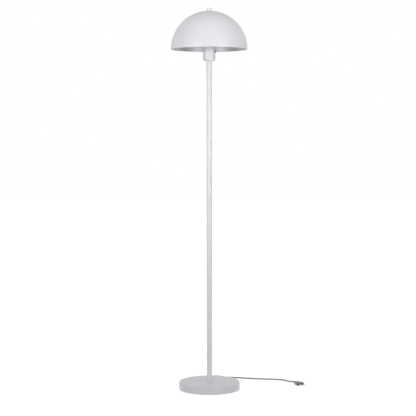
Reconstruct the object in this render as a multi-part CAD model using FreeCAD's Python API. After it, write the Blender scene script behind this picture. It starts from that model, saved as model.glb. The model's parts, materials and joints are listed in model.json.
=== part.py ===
import FreeCAD, Part
import math
import os

from FreeCAD import Vector as V

# Mushroom floor lamp. Millimetres, +Z up, origin at the centre of the base's underside.
# -Y is the side that the lamp is seen from, and the mains lead leaves at the back (+Y).

# ---- overall sizes -------------------------------------------------------------------------
LAMP_HEIGHT = 1500.0        # floor to the top of the knob
BASE_DIAMETER = 240.0
BASE_HEIGHT = 30.0
SHADE_DIAMETER = 300.0      # over the rolled edge
POLE_DIAMETER = 21.0
POLE_SECTIONS = 3

# ---- base ----------------------------------------------------------------------------------
COVER_WALL = 1.2
COVER_TOP_RADIUS = 3.0
COVER_LIFT = 1.0            # the cover's lower edge stays this far above the floor
PAD_THICKNESS = 1.5
PAD_WIDTH = 16.0
PAD_EDGE = 8.0              # from the cover's outside to the pad's outside
PLATE_THICKNESS = 1.0
PLATE_CLEARANCE = 0.5
WEIGHT_THICKNESS = 12.0
WEIGHT_CLEARANCE = 2.8      # between the weight's rim and the cover's wall
WEIGHT_CHAMFER = 2.0
HUB_THICKNESS = 4.0         # web in the middle of the weight
HUB_RADIUS = 24.0
HUB_DRAFT = 2.0             # the hub's pocket is this much wider at its mouth
BOSS_CIRCLE = 80.0
BOSS_COUNT = 3
BOSS_FIRST_ANGLE = 38.0
BOSS_RADIUS = 6.5
BOSS_DRAFT = 1.5
SCREW_RADIUS = 2.0
SCREW_HEAD_RADIUS = 3.8
SCREW_HEAD_HEIGHT = 1.3
SCREW_LENGTH = 10.0
SCREW_CROSS = 3.6           # recess in the head
SCREW_CROSS_WIDTH = 0.8
SCREW_CROSS_DEPTH = 0.8
HOLE_CLEARANCE = 0.25

# ---- hollow threaded tubes, their nuts and washers -----------------------------------------
NIPPLE_RADIUS = 5.0
NIPPLE_BORE = 3.8
THREAD_CLEARANCE = 0.05
BASE_NUT_FLATS = 17.0
BASE_NUT_HEIGHT = 4.5
BASE_WASHER_RADIUS = 11.0
BASE_WASHER_THICKNESS = 1.6
NIPPLE_PROUD = 0.6
THREAD_SPARE = 2.0          # hollow tubes end this far inside their bushes
HEAD_NUT_FLATS = 14.0
HEAD_NUT_HEIGHT = 3.0

# ---- pole ----------------------------------------------------------------------------------
POLE_WALL = 1.2
POLE_CHAMFER = 0.25
BUSH_HEIGHT = 14.0

# ---- lampholder cup and bracket ------------------------------------------------------------
CUP_DIAMETER = 48.0
CUP_HEIGHT = 72.0
CUP_WALL = 1.0
CUP_CORNER = 3.0
HARP_THICKNESS = 1.6
HARP_WIDTH = 10.0
HARP_GAP = 0.3              # between the bracket's corners and the cup
HARP_BULB_SIDE = 8.0        # from the bulb to the middle of the strap beside it
HARP_OVER_BULB = 33.1       # from the bulb to the top of the bridge
HARP_SHOULDER = 28.0        # from the cup's mouth to where the bracket is widest
HARP_CROWN = 8.0            # the corners are this far below the bridge's top
HARP_BRIDGE = 18.0          # half length of the bridge, to the middle of its bend
HARP_BENDS = [3.2, 14.0, 14.0, 8.0, 10.0]
STUD_RADIUS = 3.0
STUD_HEAD_RADIUS = 5.0
STUD_HEAD_HEIGHT = 1.5

# ---- shade and knob ------------------------------------------------------------------------
SHADE_WALL = 1.0
HEM_RADIUS = 1.3
HEM_PROUD = 0.6             # the rolled edge stands this far out of the dome
SHADE_FLAT_RADIUS = 12.0    # pressed flat round the hole
SHADE_HOLE_RADIUS = 3.3
WASHER_BELOW = 1.0
WASHER_ABOVE = 0.8
WASHER_RADIUS = 8.0
KNOB_DIAMETER = 18.0
KNOB_HEIGHT = 11.3
KNOB_EDGE = 1.6
KNOB_FOOT_CHAMFER = 0.5
INSERT_LENGTH = 7.0
RUNNING_CLEARANCE = 0.06

# ---- lampholder ----------------------------------------------------------------------------
HOLDER_GAP = 0.74           # between the lampholder and the bracket's arms
HOLDER_WALL = 3.4
HOLDER_FLOOR = 3.0
HOLDER_COLLAR_RADIUS = 8.0
HOLDER_COLLAR_HEIGHT = 6.0
BUTTON_UP = 36.0            # button axis above the underside of the cup
NECK_OVER_BUTTON = 0.6      # from the button's top to where the lower half's neck starts
NECK_HEIGHT = 4.0
NECK_STEP = 1.6             # the neck is this much thinner than the lampholder
SHELL_WALL = 1.8
SHELL_LIP = 3.4
MOUTH_GAP = 1.4             # between the bulb's cap and the lampholder's lip
MOUTH_BELOW_CUP = 0.6
SLIP = 0.1
INSERT_DISC = 3.5
SCREW_SHELL_WALL = 0.4
TERMINAL_OFFSET = 12.0
TERMINAL_SIZE = 5.0
TERMINAL_HEIGHT = 3.6

# ---- push switch ---------------------------------------------------------------------------
BUTTON_RADIUS = 4.0
BUTTON_PROUD = 3.3
BUTTON_TRAVEL = 1.6
BUTTON_COLLAR = 1.2         # collar radius beyond the button
BUTTON_COLLAR_LENGTH = 2.0
BUTTON_STEM_RADIUS = 1.2
BUTTON_GUIDE = 0.1
CUP_HOLE_CLEARANCE = 0.3
SWITCH_LENGTH = 23.0
SWITCH_WIDTH = 16.0
SWITCH_HEIGHT = 11.0
SPRING_RADIUS = 2.3
SPRING_WIRE = 0.5
SPRING_POCKET = 7.0
SPRING_TURNS = 5
SPRING_SIDES = 6            # flat sides of the wire, for a light mesh

# ---- bulb ----------------------------------------------------------------------------------
BULB_CAP_RADIUS = 13.0
BULB_CAP_HEIGHT = 20.0
BULB_RADIUS = 30.0
BULB_LENGTH = 108.0
BULB_WALL = 0.8
BULB_CAP_WALL = 0.6
CONTACT_LIFT = 1.5
CONTACT_GAP = 0.3
TIP_RADIUS = 4.5
TIP_HEIGHT = 1.5
INSULATOR_HEIGHT = 4.2

# ---- mains lead ----------------------------------------------------------------------------
CORD_DIAMETER = 5.5
CORD_SIDES = 12             # flat sides of the free lead, for a light mesh
CORD_FIT = 0.05
CORD_ANGLE = 98.0           # where the lead leaves the base, counted from +X
CORD_UP = 6.0               # height of the lead's axis in the base
BUSHING_OUT = 20.0          # the strain relief beyond the cover's wall
BUSHING_TIP_WALL = 0.85     # walls of the strain relief round the lead
BUSHING_NECK_WALL = 1.15
BUSHING_ROOT_WALL = 2.05
BUSHING_FLANGE_WALL = 2.25
BUSHING_FLANGE_THICKNESS = 1.5
BUSHING_COLLAR = 2.0        # straight part before the taper
STOP_WALL = 1.65
STOP_WIDTH = 4.0
STOP_INSET = 9.0            # from the cover's inner wall to the cable tie
CORE_RADIUS = 1.1
CORE_BEND = 3.0
NIPPLE_ENTRY = 0.1          # the bend ends this far below the hollow tube
SHEATH_PROUD = 2.0          # the sheath ends this far above the hollow tube in the lampholder

# ---- put-away coil -------------------------------------------------------------------------
COIL_CENTRE = V(24.0, 166.5, 0)
COIL_OUTER = 41.5           # radius of the first and the last turn's centre line
COIL_GAP = 0.6              # between turns, across and upwards
COIL_START_ANGLE = 165.0    # heading there is square to this angle, and clockwise from above
COIL_END_ANGLE = 90.0
COIL_FULL_TURNS = 6
TIE_THICKNESS = 0.8
TIE_WIDTH = 8.0
TIE_GAP = 0.1
TIE_ANGLE = 315.0

# ---- plug ----------------------------------------------------------------------------------
PLUG_TAIL = 18.0
TAIL_TIP_RADIUS = 3.5
TAIL_ROOT_RADIUS = 5.0
PLUG_BODY = 34.0
PLUG_WIDTH = 35.0
PLUG_THICKNESS = 13.8
PIN_RADIUS = 2.0
PIN_LENGTH = 19.0
PIN_TIP = 1.4               # rounding at the pin's end
PIN_SPACING = 18.6
PIN_ROOT_RADIUS = 1.5       # the part that the plug is moulded round
PIN_ROOT_LENGTH = 10.0
TAIL_GROOVES = 4            # in the plug's and the base's strain relief alike
GROOVE_WIDTH = 1.3
GROOVE_DEPTH = 0.7

# Route of the free lead, from the strain relief's tip to the coil and from the coil to the plug.
LEAD_POINTS = [
    (-20.73, 147.55, 6.0),
    (-20.86, 159.4, 9.75),
]
RUN_POINTS = [
    (57.0, 207.99, 3.65),
    (94.0, 213.5, 2.75),
    (148.0, 196.0, 2.75),
    (205.0, 181.5, 2.75),
    (262.0, 173.5, 2.75),
    (298.0, 164.5, 2.75),
    (315.0, 145.0, 2.75),
    (327.0, 128.0, 2.75),
    (334.5, 114.5, 6.9),
    (339.9, 104.8, 6.9),
]

# ---- sizes that follow from the ones above -------------------------------------------------
cord_radius = CORD_DIAMETER / 2
coil_pitch = CORD_DIAMETER + COIL_GAP
bushing_neck = cord_radius + BUSHING_NECK_WALL
bushing_flange = cord_radius + BUSHING_FLANGE_WALL
harp_reach = BULB_RADIUS + HARP_BULB_SIDE
arm_corner = CUP_DIAMETER / 2 - CUP_WALL - HARP_GAP
arm_outside = math.sqrt(arm_corner ** 2 - (HARP_WIDTH / 2) ** 2)
holder_radius = arm_outside - HARP_THICKNESS - HOLDER_GAP
holder_inner = holder_radius - HOLDER_WALL
neck_radius = holder_radius - NECK_STEP
bulb_neck_radius = BULB_CAP_RADIUS - BULB_CAP_WALL
insert_radius = KNOB_DIAMETER / 4

# Heights above the cup's underside, up through the lampholder and the bulb to the bridge.
neck_bottom_up = BUTTON_UP + BUTTON_RADIUS + NECK_OVER_BUTTON
insert_top_up = neck_bottom_up + NECK_HEIGHT + INSERT_DISC
bulb_bottom_up = insert_top_up + CONTACT_LIFT + CONTACT_GAP
bridge_up = bulb_bottom_up + BULB_LENGTH + HARP_OVER_BULB

# Heights above the floor.
cover_top_inside = BASE_HEIGHT - COVER_WALL
plate_top = PAD_THICKNESS + PLATE_THICKNESS
hub_bottom = cover_top_inside - HUB_THICKNESS
base_nut_bottom = hub_bottom - BASE_WASHER_THICKNESS - BASE_NUT_HEIGHT
base_nipple_bottom = base_nut_bottom - NIPPLE_PROUD
cord_bend = base_nipple_bottom - NIPPLE_ENTRY - CORD_UP
head_height = bridge_up + WASHER_BELOW + SHADE_WALL + WASHER_ABOVE + KNOB_HEIGHT
section_length = (LAMP_HEIGHT - BASE_HEIGHT - head_height) / POLE_SECTIONS
cup_bottom = LAMP_HEIGHT - head_height
cup_mouth = cup_bottom + CUP_HEIGHT
harp_foot = cup_bottom + CUP_WALL
bridge_top = cup_bottom + bridge_up
shade_top = bridge_top + WASHER_BELOW + SHADE_WALL
dome_radius = SHADE_DIAMETER / 2 - HEM_PROUD
dome_centre = shade_top - math.sqrt(dome_radius ** 2 - SHADE_FLAT_RADIUS ** 2)
knob_bottom = shade_top + WASHER_ABOVE
nut_bottom = harp_foot + HARP_THICKNESS
holder_bottom = nut_bottom + HEAD_NUT_HEIGHT
button_axis = cup_bottom + BUTTON_UP
neck_bottom = cup_bottom + neck_bottom_up
neck_top = neck_bottom + NECK_HEIGHT
insert_top = cup_bottom + insert_top_up
holder_mouth = cup_mouth - MOUTH_BELOW_CUP
bulb_bottom = cup_bottom + bulb_bottom_up
bulb_top = bulb_bottom + BULB_LENGTH
cap_bottom = bulb_bottom + TIP_HEIGHT + INSULATOR_HEIGHT
cap_top = cap_bottom + BULB_CAP_HEIGHT
nipple_top = holder_bottom + HOLDER_FLOOR + HOLDER_COLLAR_HEIGHT - NIPPLE_PROUD
sheath_end = nipple_top + SHEATH_PROUD


# ---- shapes --------------------------------------------------------------------------------
def disc(radius, height, z, bore=0.0):
    """A flat round piece from z upwards, with a hole if bore is given."""
    solid = Part.makeCylinder(radius, height, V(0, 0, z))
    if bore > 0:
        solid = solid.cut(Part.makeCylinder(bore, height, V(0, 0, z)))
    return solid


def line(a, b):
    return Part.LineSegment(a, b).toShape()


def arc(a, middle, b):
    return Part.Arc(a, middle, b).toShape()


def turned(edges):
    """Revolve a closed profile in the XZ plane about Z."""
    return Part.Face(Part.Wire(edges)).revolve(V(0, 0, 0), V(0, 0, 1), 360)


def turned_polygon(points):
    """Revolve straight (radius, height) points about Z."""
    corners = [V(r, 0, z) for r, z in points]
    return turned([line(a, b) for a, b in zip(corners, corners[1:] + corners[:1])])


def hexagon(flats, height, z, bore):
    corners = []
    for i in range(6):
        angle = math.radians(60 * i)
        corners.append(V(flats / math.sqrt(3) * math.cos(angle), flats / math.sqrt(3) * math.sin(angle), z))
    face = Part.Face(Part.makePolygon(corners + corners[:1]))
    return face.extrude(V(0, 0, height)).cut(Part.makeCylinder(bore, height, V(0, 0, z)))


def moved(solid, offset):
    copy = solid.copy()
    copy.translate(offset)
    return copy


def turned_about_z(solid, degrees):
    copy = solid.copy()
    copy.rotate(V(0, 0, 0), V(0, 0, 1), degrees)
    return copy


def round_the_lead(solid):
    """Put a piece made along +X, at height 0, on the lead's axis in the base."""
    return moved(turned_about_z(solid, CORD_ANGLE), V(0, 0, CORD_UP))


def rounded_path(points, radius_at):
    """Straight runs joined by tangent arcs. radius_at gives each inner point's radius."""
    edges = []
    here = points[0]
    for i in range(1, len(points) - 1):
        before = (points[i] - points[i - 1]).normalize()
        after = (points[i + 1] - points[i]).normalize()
        turn = math.acos(max(-1.0, min(1.0, before.dot(after))))
        back = radius_at(i, turn) * math.tan(turn / 2)
        start = points[i] - before * back
        end = points[i] + after * back
        bisector = (after - before).normalize()
        middle = points[i] + bisector * (back * math.tan(turn / 4))
        edges.append(line(here, start))
        edges.append(arc(start, middle, end))
        here = end
    edges.append(line(here, points[-1]))
    return edges


def many_sided(radius, sides, centre, heading):
    """Regular polygon with its corners on a circle, square to the heading."""
    across = heading.cross(V(0, 0, 1) if abs(heading.z) < 0.9 else V(1, 0, 0)).normalize()
    up = across.cross(heading)
    corners = []
    for i in range(sides):
        angle = 2 * math.pi * (i + 0.5) / sides
        corners.append(centre + across * (radius * math.cos(angle)) + up * (radius * math.sin(angle)))
    return Part.makePolygon(corners + corners[:1])


def tube_along(edges, radius, start, heading, sides=0):
    """A solid along a smooth chain of edges, round, or with as many flat sides as given."""
    if sides:
        profile = many_sided(radius, sides, start, heading)
    else:
        profile = Part.Wire(Part.makeCircle(radius, start, heading))
    shape = Part.Wire(edges).makePipeShell([profile], True, False)
    return Part.Solid(shape) if shape.ShapeType == "Shell" else shape


def biarc(start, start_heading, end, end_heading):
    """Two arcs that leave start and reach end with the given headings, smooth where they meet."""
    span = end - start
    both = start_heading + end_heading
    bend = 2 * (1 - start_heading.dot(end_heading))
    reach = (math.sqrt(span.dot(both) ** 2 + bend * span.dot(span)) - span.dot(both)) / bend
    join = (start + end + (start_heading - end_heading) * reach) * 0.5
    edges = []
    for a, corner, b in ((start, start + start_heading * reach, join), (join, end - end_heading * reach, end)):
        first = (corner - a).normalize()
        second = (b - corner).normalize()
        quarter_turn = math.acos(max(-1.0, min(1.0, first.dot(second)))) / 4
        middle = (a + b) * 0.5
        rise = a.distanceToPoint(b) / 2 * math.tan(quarter_turn)
        edges.append(arc(a, middle + (corner - middle).normalize() * rise, b))
    return edges


def turns_of_biarcs(point_at, heading_at, sweep):
    """Arcs along a coil or a spring, two for about every half turn."""
    steps = int(round(sweep / math.pi))
    stops = [sweep * i / steps for i in range(steps + 1)]
    edges = []
    for a, b in zip(stops, stops[1:]):
        edges += biarc(point_at(a), heading_at(a), point_at(b), heading_at(b))
    return edges


def grooved_taper(start, end, root, tip):
    """(along, radius) points of a strain relief's outside, with rings cut round it."""
    points = [(start, root)]
    step = (end - start) / (TAIL_GROOVES + 0.5)
    for i in range(TAIL_GROOVES):
        middle = start + step * (i + 0.75)
        for x, depth in ((-0.5, 0.0), (-0.5, 1.0), (0.5, 1.0), (0.5, 0.0)):
            x = middle + x * GROOVE_WIDTH
            points.append((x, root + (tip - root) * (x - start) / (end - start) - depth * GROOVE_DEPTH))
    return points + [(end, tip)]


# ---- base ----------------------------------------------------------------------------------
def make_base_cover():
    outer = BASE_DIAMETER / 2
    inner = outer - COVER_WALL
    corner = COVER_TOP_RADIUS
    inside_corner = corner - COVER_WALL
    diagonal = math.sqrt(0.5)
    hole = NIPPLE_RADIUS + HOLE_CLEARANCE
    centre = V(outer - corner, 0, BASE_HEIGHT - corner)
    cover = turned([
        line(V(hole, 0, BASE_HEIGHT), V(outer - corner, 0, BASE_HEIGHT)),
        arc(V(outer - corner, 0, BASE_HEIGHT),
            centre + V(corner * diagonal, 0, corner * diagonal),
            V(outer, 0, BASE_HEIGHT - corner)),
        line(V(outer, 0, BASE_HEIGHT - corner), V(outer, 0, COVER_LIFT)),
        line(V(outer, 0, COVER_LIFT), V(inner, 0, COVER_LIFT)),
        line(V(inner, 0, COVER_LIFT), V(inner, 0, BASE_HEIGHT - corner)),
        arc(V(inner, 0, BASE_HEIGHT - corner),
            centre + V(inside_corner * diagonal, 0, inside_corner * diagonal),
            V(outer - corner, 0, cover_top_inside)),
        line(V(outer - corner, 0, cover_top_inside), V(hole, 0, cover_top_inside)),
        line(V(hole, 0, cover_top_inside), V(hole, 0, BASE_HEIGHT)),
    ])
    notch_radius = bushing_neck + SLIP
    length = 4 * COVER_WALL
    notch = Part.makeCylinder(notch_radius, length, V(inner - COVER_WALL, 0, 0), V(1, 0, 0))
    slot = Part.makeBox(length, 2 * notch_radius, CORD_UP, V(inner - COVER_WALL, -notch_radius, -CORD_UP))
    return cover.cut(round_the_lead(notch)).cut(round_the_lead(slot))


def boss_angles():
    return [BOSS_FIRST_ANGLE + i * 360.0 / BOSS_COUNT for i in range(BOSS_COUNT)]


def make_base_weight():
    outer = BASE_DIAMETER / 2 - COVER_WALL - WEIGHT_CLEARANCE
    bottom = cover_top_inside - WEIGHT_THICKNESS
    hole = NIPPLE_RADIUS + HOLE_CLEARANCE
    weight = turned_polygon([
        (hole, cover_top_inside), (outer - WEIGHT_CHAMFER, cover_top_inside),
        (outer, cover_top_inside - WEIGHT_CHAMFER), (outer, bottom),
        (HUB_RADIUS + HUB_DRAFT, bottom), (HUB_RADIUS, hub_bottom), (hole, hub_bottom),
    ])
    for angle in boss_angles():
        boss = Part.makeCone(BOSS_RADIUS, BOSS_RADIUS + BOSS_DRAFT, bottom - plate_top + 1,
                             V(BOSS_CIRCLE, 0, plate_top))
        tapped = Part.makeCylinder(SCREW_RADIUS + THREAD_CLEARANCE, SCREW_LENGTH + 1,
                                   V(BOSS_CIRCLE, 0, plate_top))
        weight = weight.fuse(turned_about_z(boss, angle)).cut(turned_about_z(tapped, angle))
    return weight.removeSplitter()


def make_bottom_plate():
    outer = BASE_DIAMETER / 2 - COVER_WALL - PLATE_CLEARANCE
    plate = disc(outer, PLATE_THICKNESS, PAD_THICKNESS)
    for angle in boss_angles():
        hole = Part.makeCylinder(SCREW_RADIUS + HOLE_CLEARANCE, PLATE_THICKNESS,
                                 V(BOSS_CIRCLE, 0, PAD_THICKNESS))
        plate = plate.cut(turned_about_z(hole, angle))
    half = bushing_flange + HOLE_CLEARANCE
    notch = Part.makeBox(STOP_INSET, 2 * half, PLATE_THICKNESS, V(outer - STOP_INSET + 2, -half, PAD_THICKNESS))
    return plate.cut(turned_about_z(notch, CORD_ANGLE))


def make_plate_screws():
    screws = []
    for angle in boss_angles():
        head = Part.makeCylinder(SCREW_HEAD_RADIUS, SCREW_HEAD_HEIGHT,
                                 V(BOSS_CIRCLE, 0, PAD_THICKNESS - SCREW_HEAD_HEIGHT))
        rim = [edge for edge in head.Edges if abs(edge.BoundBox.ZMax - head.BoundBox.ZMin) < 1e-6]
        head = head.makeFillet(SCREW_HEAD_HEIGHT * 0.6, rim)
        for long, wide in ((SCREW_CROSS, SCREW_CROSS_WIDTH), (SCREW_CROSS_WIDTH, SCREW_CROSS)):
            corner = V(BOSS_CIRCLE - long / 2, -wide / 2, PAD_THICKNESS - SCREW_HEAD_HEIGHT)
            head = head.cut(Part.makeBox(long, wide, SCREW_CROSS_DEPTH, corner))
        shank = Part.makeCylinder(SCREW_RADIUS, SCREW_LENGTH, V(BOSS_CIRCLE, 0, PAD_THICKNESS))
        screws.append(turned_about_z(head.fuse(shank), angle))
    return Part.makeCompound(screws)


def make_foot_pad():
    outer = BASE_DIAMETER / 2 - PAD_EDGE
    return disc(outer, PAD_THICKNESS, 0, outer - PAD_WIDTH)


def make_base_nipple():
    top = BASE_HEIGHT + BUSH_HEIGHT - THREAD_SPARE
    return disc(NIPPLE_RADIUS, top - base_nipple_bottom, base_nipple_bottom, NIPPLE_BORE)


def make_base_washer():
    return disc(BASE_WASHER_RADIUS, BASE_WASHER_THICKNESS, hub_bottom - BASE_WASHER_THICKNESS,
                NIPPLE_RADIUS + HOLE_CLEARANCE)


def make_base_nut():
    return hexagon(BASE_NUT_FLATS, BASE_NUT_HEIGHT, base_nut_bottom, NIPPLE_RADIUS + THREAD_CLEARANCE)


def make_cord_bushing():
    wall_out = BASE_DIAMETER / 2
    wall_in = wall_out - COVER_WALL
    seat = wall_in - math.sqrt(wall_in ** 2 - bushing_flange ** 2)
    bore = cord_radius + CORD_FIT
    root = cord_radius + BUSHING_ROOT_WALL
    tip = wall_out + BUSHING_OUT
    flange_in = wall_in - seat - BUSHING_FLANGE_THICKNESS
    profile = [
        (flange_in, bore), (flange_in, bushing_flange),
        (wall_in - seat, bushing_flange), (wall_in - seat, bushing_neck),
        (wall_out, bushing_neck), (wall_out, root),
    ]
    profile += grooved_taper(wall_out + BUSHING_COLLAR, tip, root, cord_radius + BUSHING_TIP_WALL)
    profile += [(tip, bore)]
    corners = [V(x, 0, r) for x, r in profile]
    face = Part.Face(Part.makePolygon(corners + corners[:1]))
    return round_the_lead(face.revolve(V(0, 0, 0), V(1, 0, 0), 360))


def make_cord_stop():
    """Cable tie pulled tight on the lead: a band and its square head."""
    start = BASE_DIAMETER / 2 - COVER_WALL - STOP_INSET
    radius = cord_radius + STOP_WALL
    ring = Part.makeCylinder(radius, STOP_WIDTH, V(start, 0, 0), V(1, 0, 0))
    head = Part.makeBox(STOP_WIDTH + 1, radius, radius + 1, V(start - 0.5, -radius / 2, 0))
    hole = Part.makeCylinder(cord_radius + CORD_FIT, STOP_WIDTH + 2, V(start - 1, 0, 0), V(1, 0, 0))
    room_below = CORD_UP - plate_top
    under = Part.makeBox(STOP_WIDTH + 1, 2 * radius, radius, V(start - 0.5, -radius, -room_below - radius))
    return round_the_lead(ring.fuse(head).cut(hole).cut(under))


# ---- pole ----------------------------------------------------------------------------------
def make_pole_section(index):
    bottom = BASE_HEIGHT + index * section_length
    top = bottom + section_length
    outer = POLE_DIAMETER / 2
    inner = outer - POLE_WALL
    edge = POLE_CHAMFER
    return turned_polygon([
        (inner, bottom), (outer - edge, bottom), (outer, bottom + edge),
        (outer, top - edge), (outer - edge, top), (inner, top),
    ])


def make_pole_bushes():
    radius = POLE_DIAMETER / 2 - POLE_WALL
    bushes = []
    for index in range(POLE_SECTIONS):
        bottom = BASE_HEIGHT + index * section_length
        for z in (bottom, bottom + section_length - BUSH_HEIGHT):
            bushes.append(disc(radius, BUSH_HEIGHT, z, NIPPLE_RADIUS + THREAD_CLEARANCE))
    return Part.makeCompound(bushes)


def make_pole_joiners():
    joiners = []
    reach = BUSH_HEIGHT - THREAD_SPARE
    for index in range(1, POLE_SECTIONS):
        middle = BASE_HEIGHT + index * section_length
        joiners.append(disc(NIPPLE_RADIUS, 2 * reach, middle - reach, NIPPLE_BORE))
    return Part.makeCompound(joiners)


# ---- cup, bracket and their fixings --------------------------------------------------------
def make_socket_cup():
    outer = CUP_DIAMETER / 2
    inner = outer - CUP_WALL
    corner = CUP_CORNER
    inside = corner - CUP_WALL
    diagonal = math.sqrt(0.5)
    hole = NIPPLE_RADIUS + HOLE_CLEARANCE
    centre = V(outer - corner, 0, cup_bottom + corner)
    cup = turned([
        line(V(hole, 0, cup_bottom), V(outer - corner, 0, cup_bottom)),
        arc(V(outer - corner, 0, cup_bottom),
            centre + V(corner * diagonal, 0, -corner * diagonal),
            V(outer, 0, cup_bottom + corner)),
        line(V(outer, 0, cup_bottom + corner), V(outer, 0, cup_mouth)),
        line(V(outer, 0, cup_mouth), V(inner, 0, cup_mouth)),
        line(V(inner, 0, cup_mouth), V(inner, 0, cup_bottom + corner)),
        arc(V(inner, 0, cup_bottom + corner),
            centre + V(inside * diagonal, 0, -inside * diagonal),
            V(outer - corner, 0, harp_foot)),
        line(V(outer - corner, 0, harp_foot), V(hole, 0, harp_foot)),
        line(V(hole, 0, harp_foot), V(hole, 0, cup_bottom)),
    ])
    button_hole = Part.makeCylinder(BUTTON_RADIUS + CUP_HOLE_CLEARANCE, outer, V(0, 0, button_axis), V(1, 0, 0))
    return cup.cut(button_hole)


def make_harp():
    """Strap bent to a tall loop: foot, two arms up inside the cup, shoulders, and the bridge."""
    half = HARP_THICKNESS / 2
    arm = arm_outside - half
    points = [
        V(0, 0, harp_foot + half), V(0, arm, harp_foot + half),
        V(0, arm, cup_mouth + HARP_BENDS[0]), V(0, harp_reach, cup_mouth + HARP_SHOULDER),
        V(0, harp_reach, bridge_top - HARP_CROWN), V(0, HARP_BRIDGE, bridge_top - half),
        V(0, 0, bridge_top - half),
    ]
    edges = rounded_path(points, lambda i, turn: HARP_BENDS[i - 1])
    strap = Part.makePolygon([
        V(-HARP_WIDTH / 2, 0, harp_foot), V(HARP_WIDTH / 2, 0, harp_foot),
        V(HARP_WIDTH / 2, 0, harp_foot + HARP_THICKNESS), V(-HARP_WIDTH / 2, 0, harp_foot + HARP_THICKNESS),
        V(-HARP_WIDTH / 2, 0, harp_foot),
    ])
    one_side = Part.Wire(edges).makePipeShell([strap], True, True)
    other_side = one_side.mirror(V(0, 0, 0), V(0, 1, 0))
    loop = one_side.fuse(other_side)
    foot_hole = Part.makeCylinder(NIPPLE_RADIUS + HOLE_CLEARANCE, 3 * HARP_THICKNESS, V(0, 0, harp_foot - 1))
    stud_hole = Part.makeCylinder(STUD_RADIUS + THREAD_CLEARANCE, 3 * HARP_THICKNESS,
                                  V(0, 0, bridge_top - 2 * HARP_THICKNESS))
    return loop.cut(foot_hole).cut(stud_hole).removeSplitter()


def make_harp_stud():
    """Stud with a flat head under the bridge, up through the shade and into the knob."""
    underside = bridge_top - HARP_THICKNESS
    top = knob_bottom + INSERT_LENGTH - THREAD_SPARE / 2
    stud = Part.makeCylinder(STUD_RADIUS, top - underside, V(0, 0, underside))
    head = Part.makeCylinder(STUD_HEAD_RADIUS, STUD_HEAD_HEIGHT, V(0, 0, underside - STUD_HEAD_HEIGHT))
    return stud.fuse(head)


def make_head_nut():
    return hexagon(HEAD_NUT_FLATS, HEAD_NUT_HEIGHT, nut_bottom, NIPPLE_RADIUS + THREAD_CLEARANCE)


def make_head_nipple():
    bottom = cup_bottom - BUSH_HEIGHT + THREAD_SPARE
    return disc(NIPPLE_RADIUS, nipple_top - bottom, bottom, NIPPLE_BORE)


# ---- shade and knob ------------------------------------------------------------------------
def meeting(centre_a, radius_a, centre_b, radius_b, side):
    """Where two circles in the XZ plane cross. side picks the crossing left or right of a to b."""
    apart = centre_a.distanceToPoint(centre_b)
    along = (apart ** 2 + radius_a ** 2 - radius_b ** 2) / (2 * apart)
    across = math.sqrt(radius_a ** 2 - along ** 2)
    forward = (centre_b - centre_a).normalize()
    left = V(-forward.z, 0, forward.x)
    return centre_a + forward * along + left * (across * side)


def make_shade():
    """Spun dome: a flat round the hole, a sphere down to the rim, and a rolled edge."""
    outer = dome_radius
    inner = outer - SHADE_WALL
    middle = V(0, 0, dome_centre)
    hem = V(SHADE_DIAMETER / 2 - HEM_RADIUS, 0, dome_centre + HEM_RADIUS)
    flat_inside = shade_top - SHADE_WALL
    flat_inner_radius = math.sqrt(inner ** 2 - (flat_inside - dome_centre) ** 2)
    hem_out = meeting(middle, outer, hem, HEM_RADIUS, 1)
    hem_in = meeting(middle, inner, hem, HEM_RADIUS, 1)
    flat_out = V(SHADE_FLAT_RADIUS, 0, shade_top)
    flat_in = V(flat_inner_radius, 0, flat_inside)

    def halfway(a, b, centre, radius):
        return centre + ((a - centre).normalize() + (b - centre).normalize()).normalize() * radius

    return turned([
        line(V(SHADE_HOLE_RADIUS, 0, shade_top), flat_out),
        arc(flat_out, halfway(flat_out, hem_out, middle, outer), hem_out),
        arc(hem_out, hem + V(0, 0, -HEM_RADIUS), hem_in),
        arc(hem_in, halfway(hem_in, flat_in, middle, inner), flat_in),
        line(flat_in, V(SHADE_HOLE_RADIUS, 0, flat_inside)),
        line(V(SHADE_HOLE_RADIUS, 0, flat_inside), V(SHADE_HOLE_RADIUS, 0, shade_top)),
    ])


def make_washer(z, thickness):
    return disc(WASHER_RADIUS, thickness, z, STUD_RADIUS + HOLE_CLEARANCE)


def make_knob():
    radius = KNOB_DIAMETER / 2
    top = knob_bottom + KNOB_HEIGHT
    diagonal = math.sqrt(0.5)
    centre = V(radius - KNOB_EDGE, 0, top - KNOB_EDGE)
    knob = turned([
        line(V(0, 0, knob_bottom), V(radius - KNOB_FOOT_CHAMFER, 0, knob_bottom)),
        line(V(radius - KNOB_FOOT_CHAMFER, 0, knob_bottom), V(radius, 0, knob_bottom + KNOB_FOOT_CHAMFER)),
        line(V(radius, 0, knob_bottom + KNOB_FOOT_CHAMFER), V(radius, 0, top - KNOB_EDGE)),
        arc(V(radius, 0, top - KNOB_EDGE),
            centre + V(KNOB_EDGE * diagonal, 0, KNOB_EDGE * diagonal),
            V(radius - KNOB_EDGE, 0, top)),
        line(V(radius - KNOB_EDGE, 0, top), V(0, 0, top)),
        line(V(0, 0, top), V(0, 0, knob_bottom)),
    ])
    return knob.cut(Part.makeCylinder(insert_radius, INSERT_LENGTH, V(0, 0, knob_bottom)))


def make_knob_insert():
    return disc(insert_radius, INSERT_LENGTH, knob_bottom, STUD_RADIUS + RUNNING_CLEARANCE)


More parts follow.
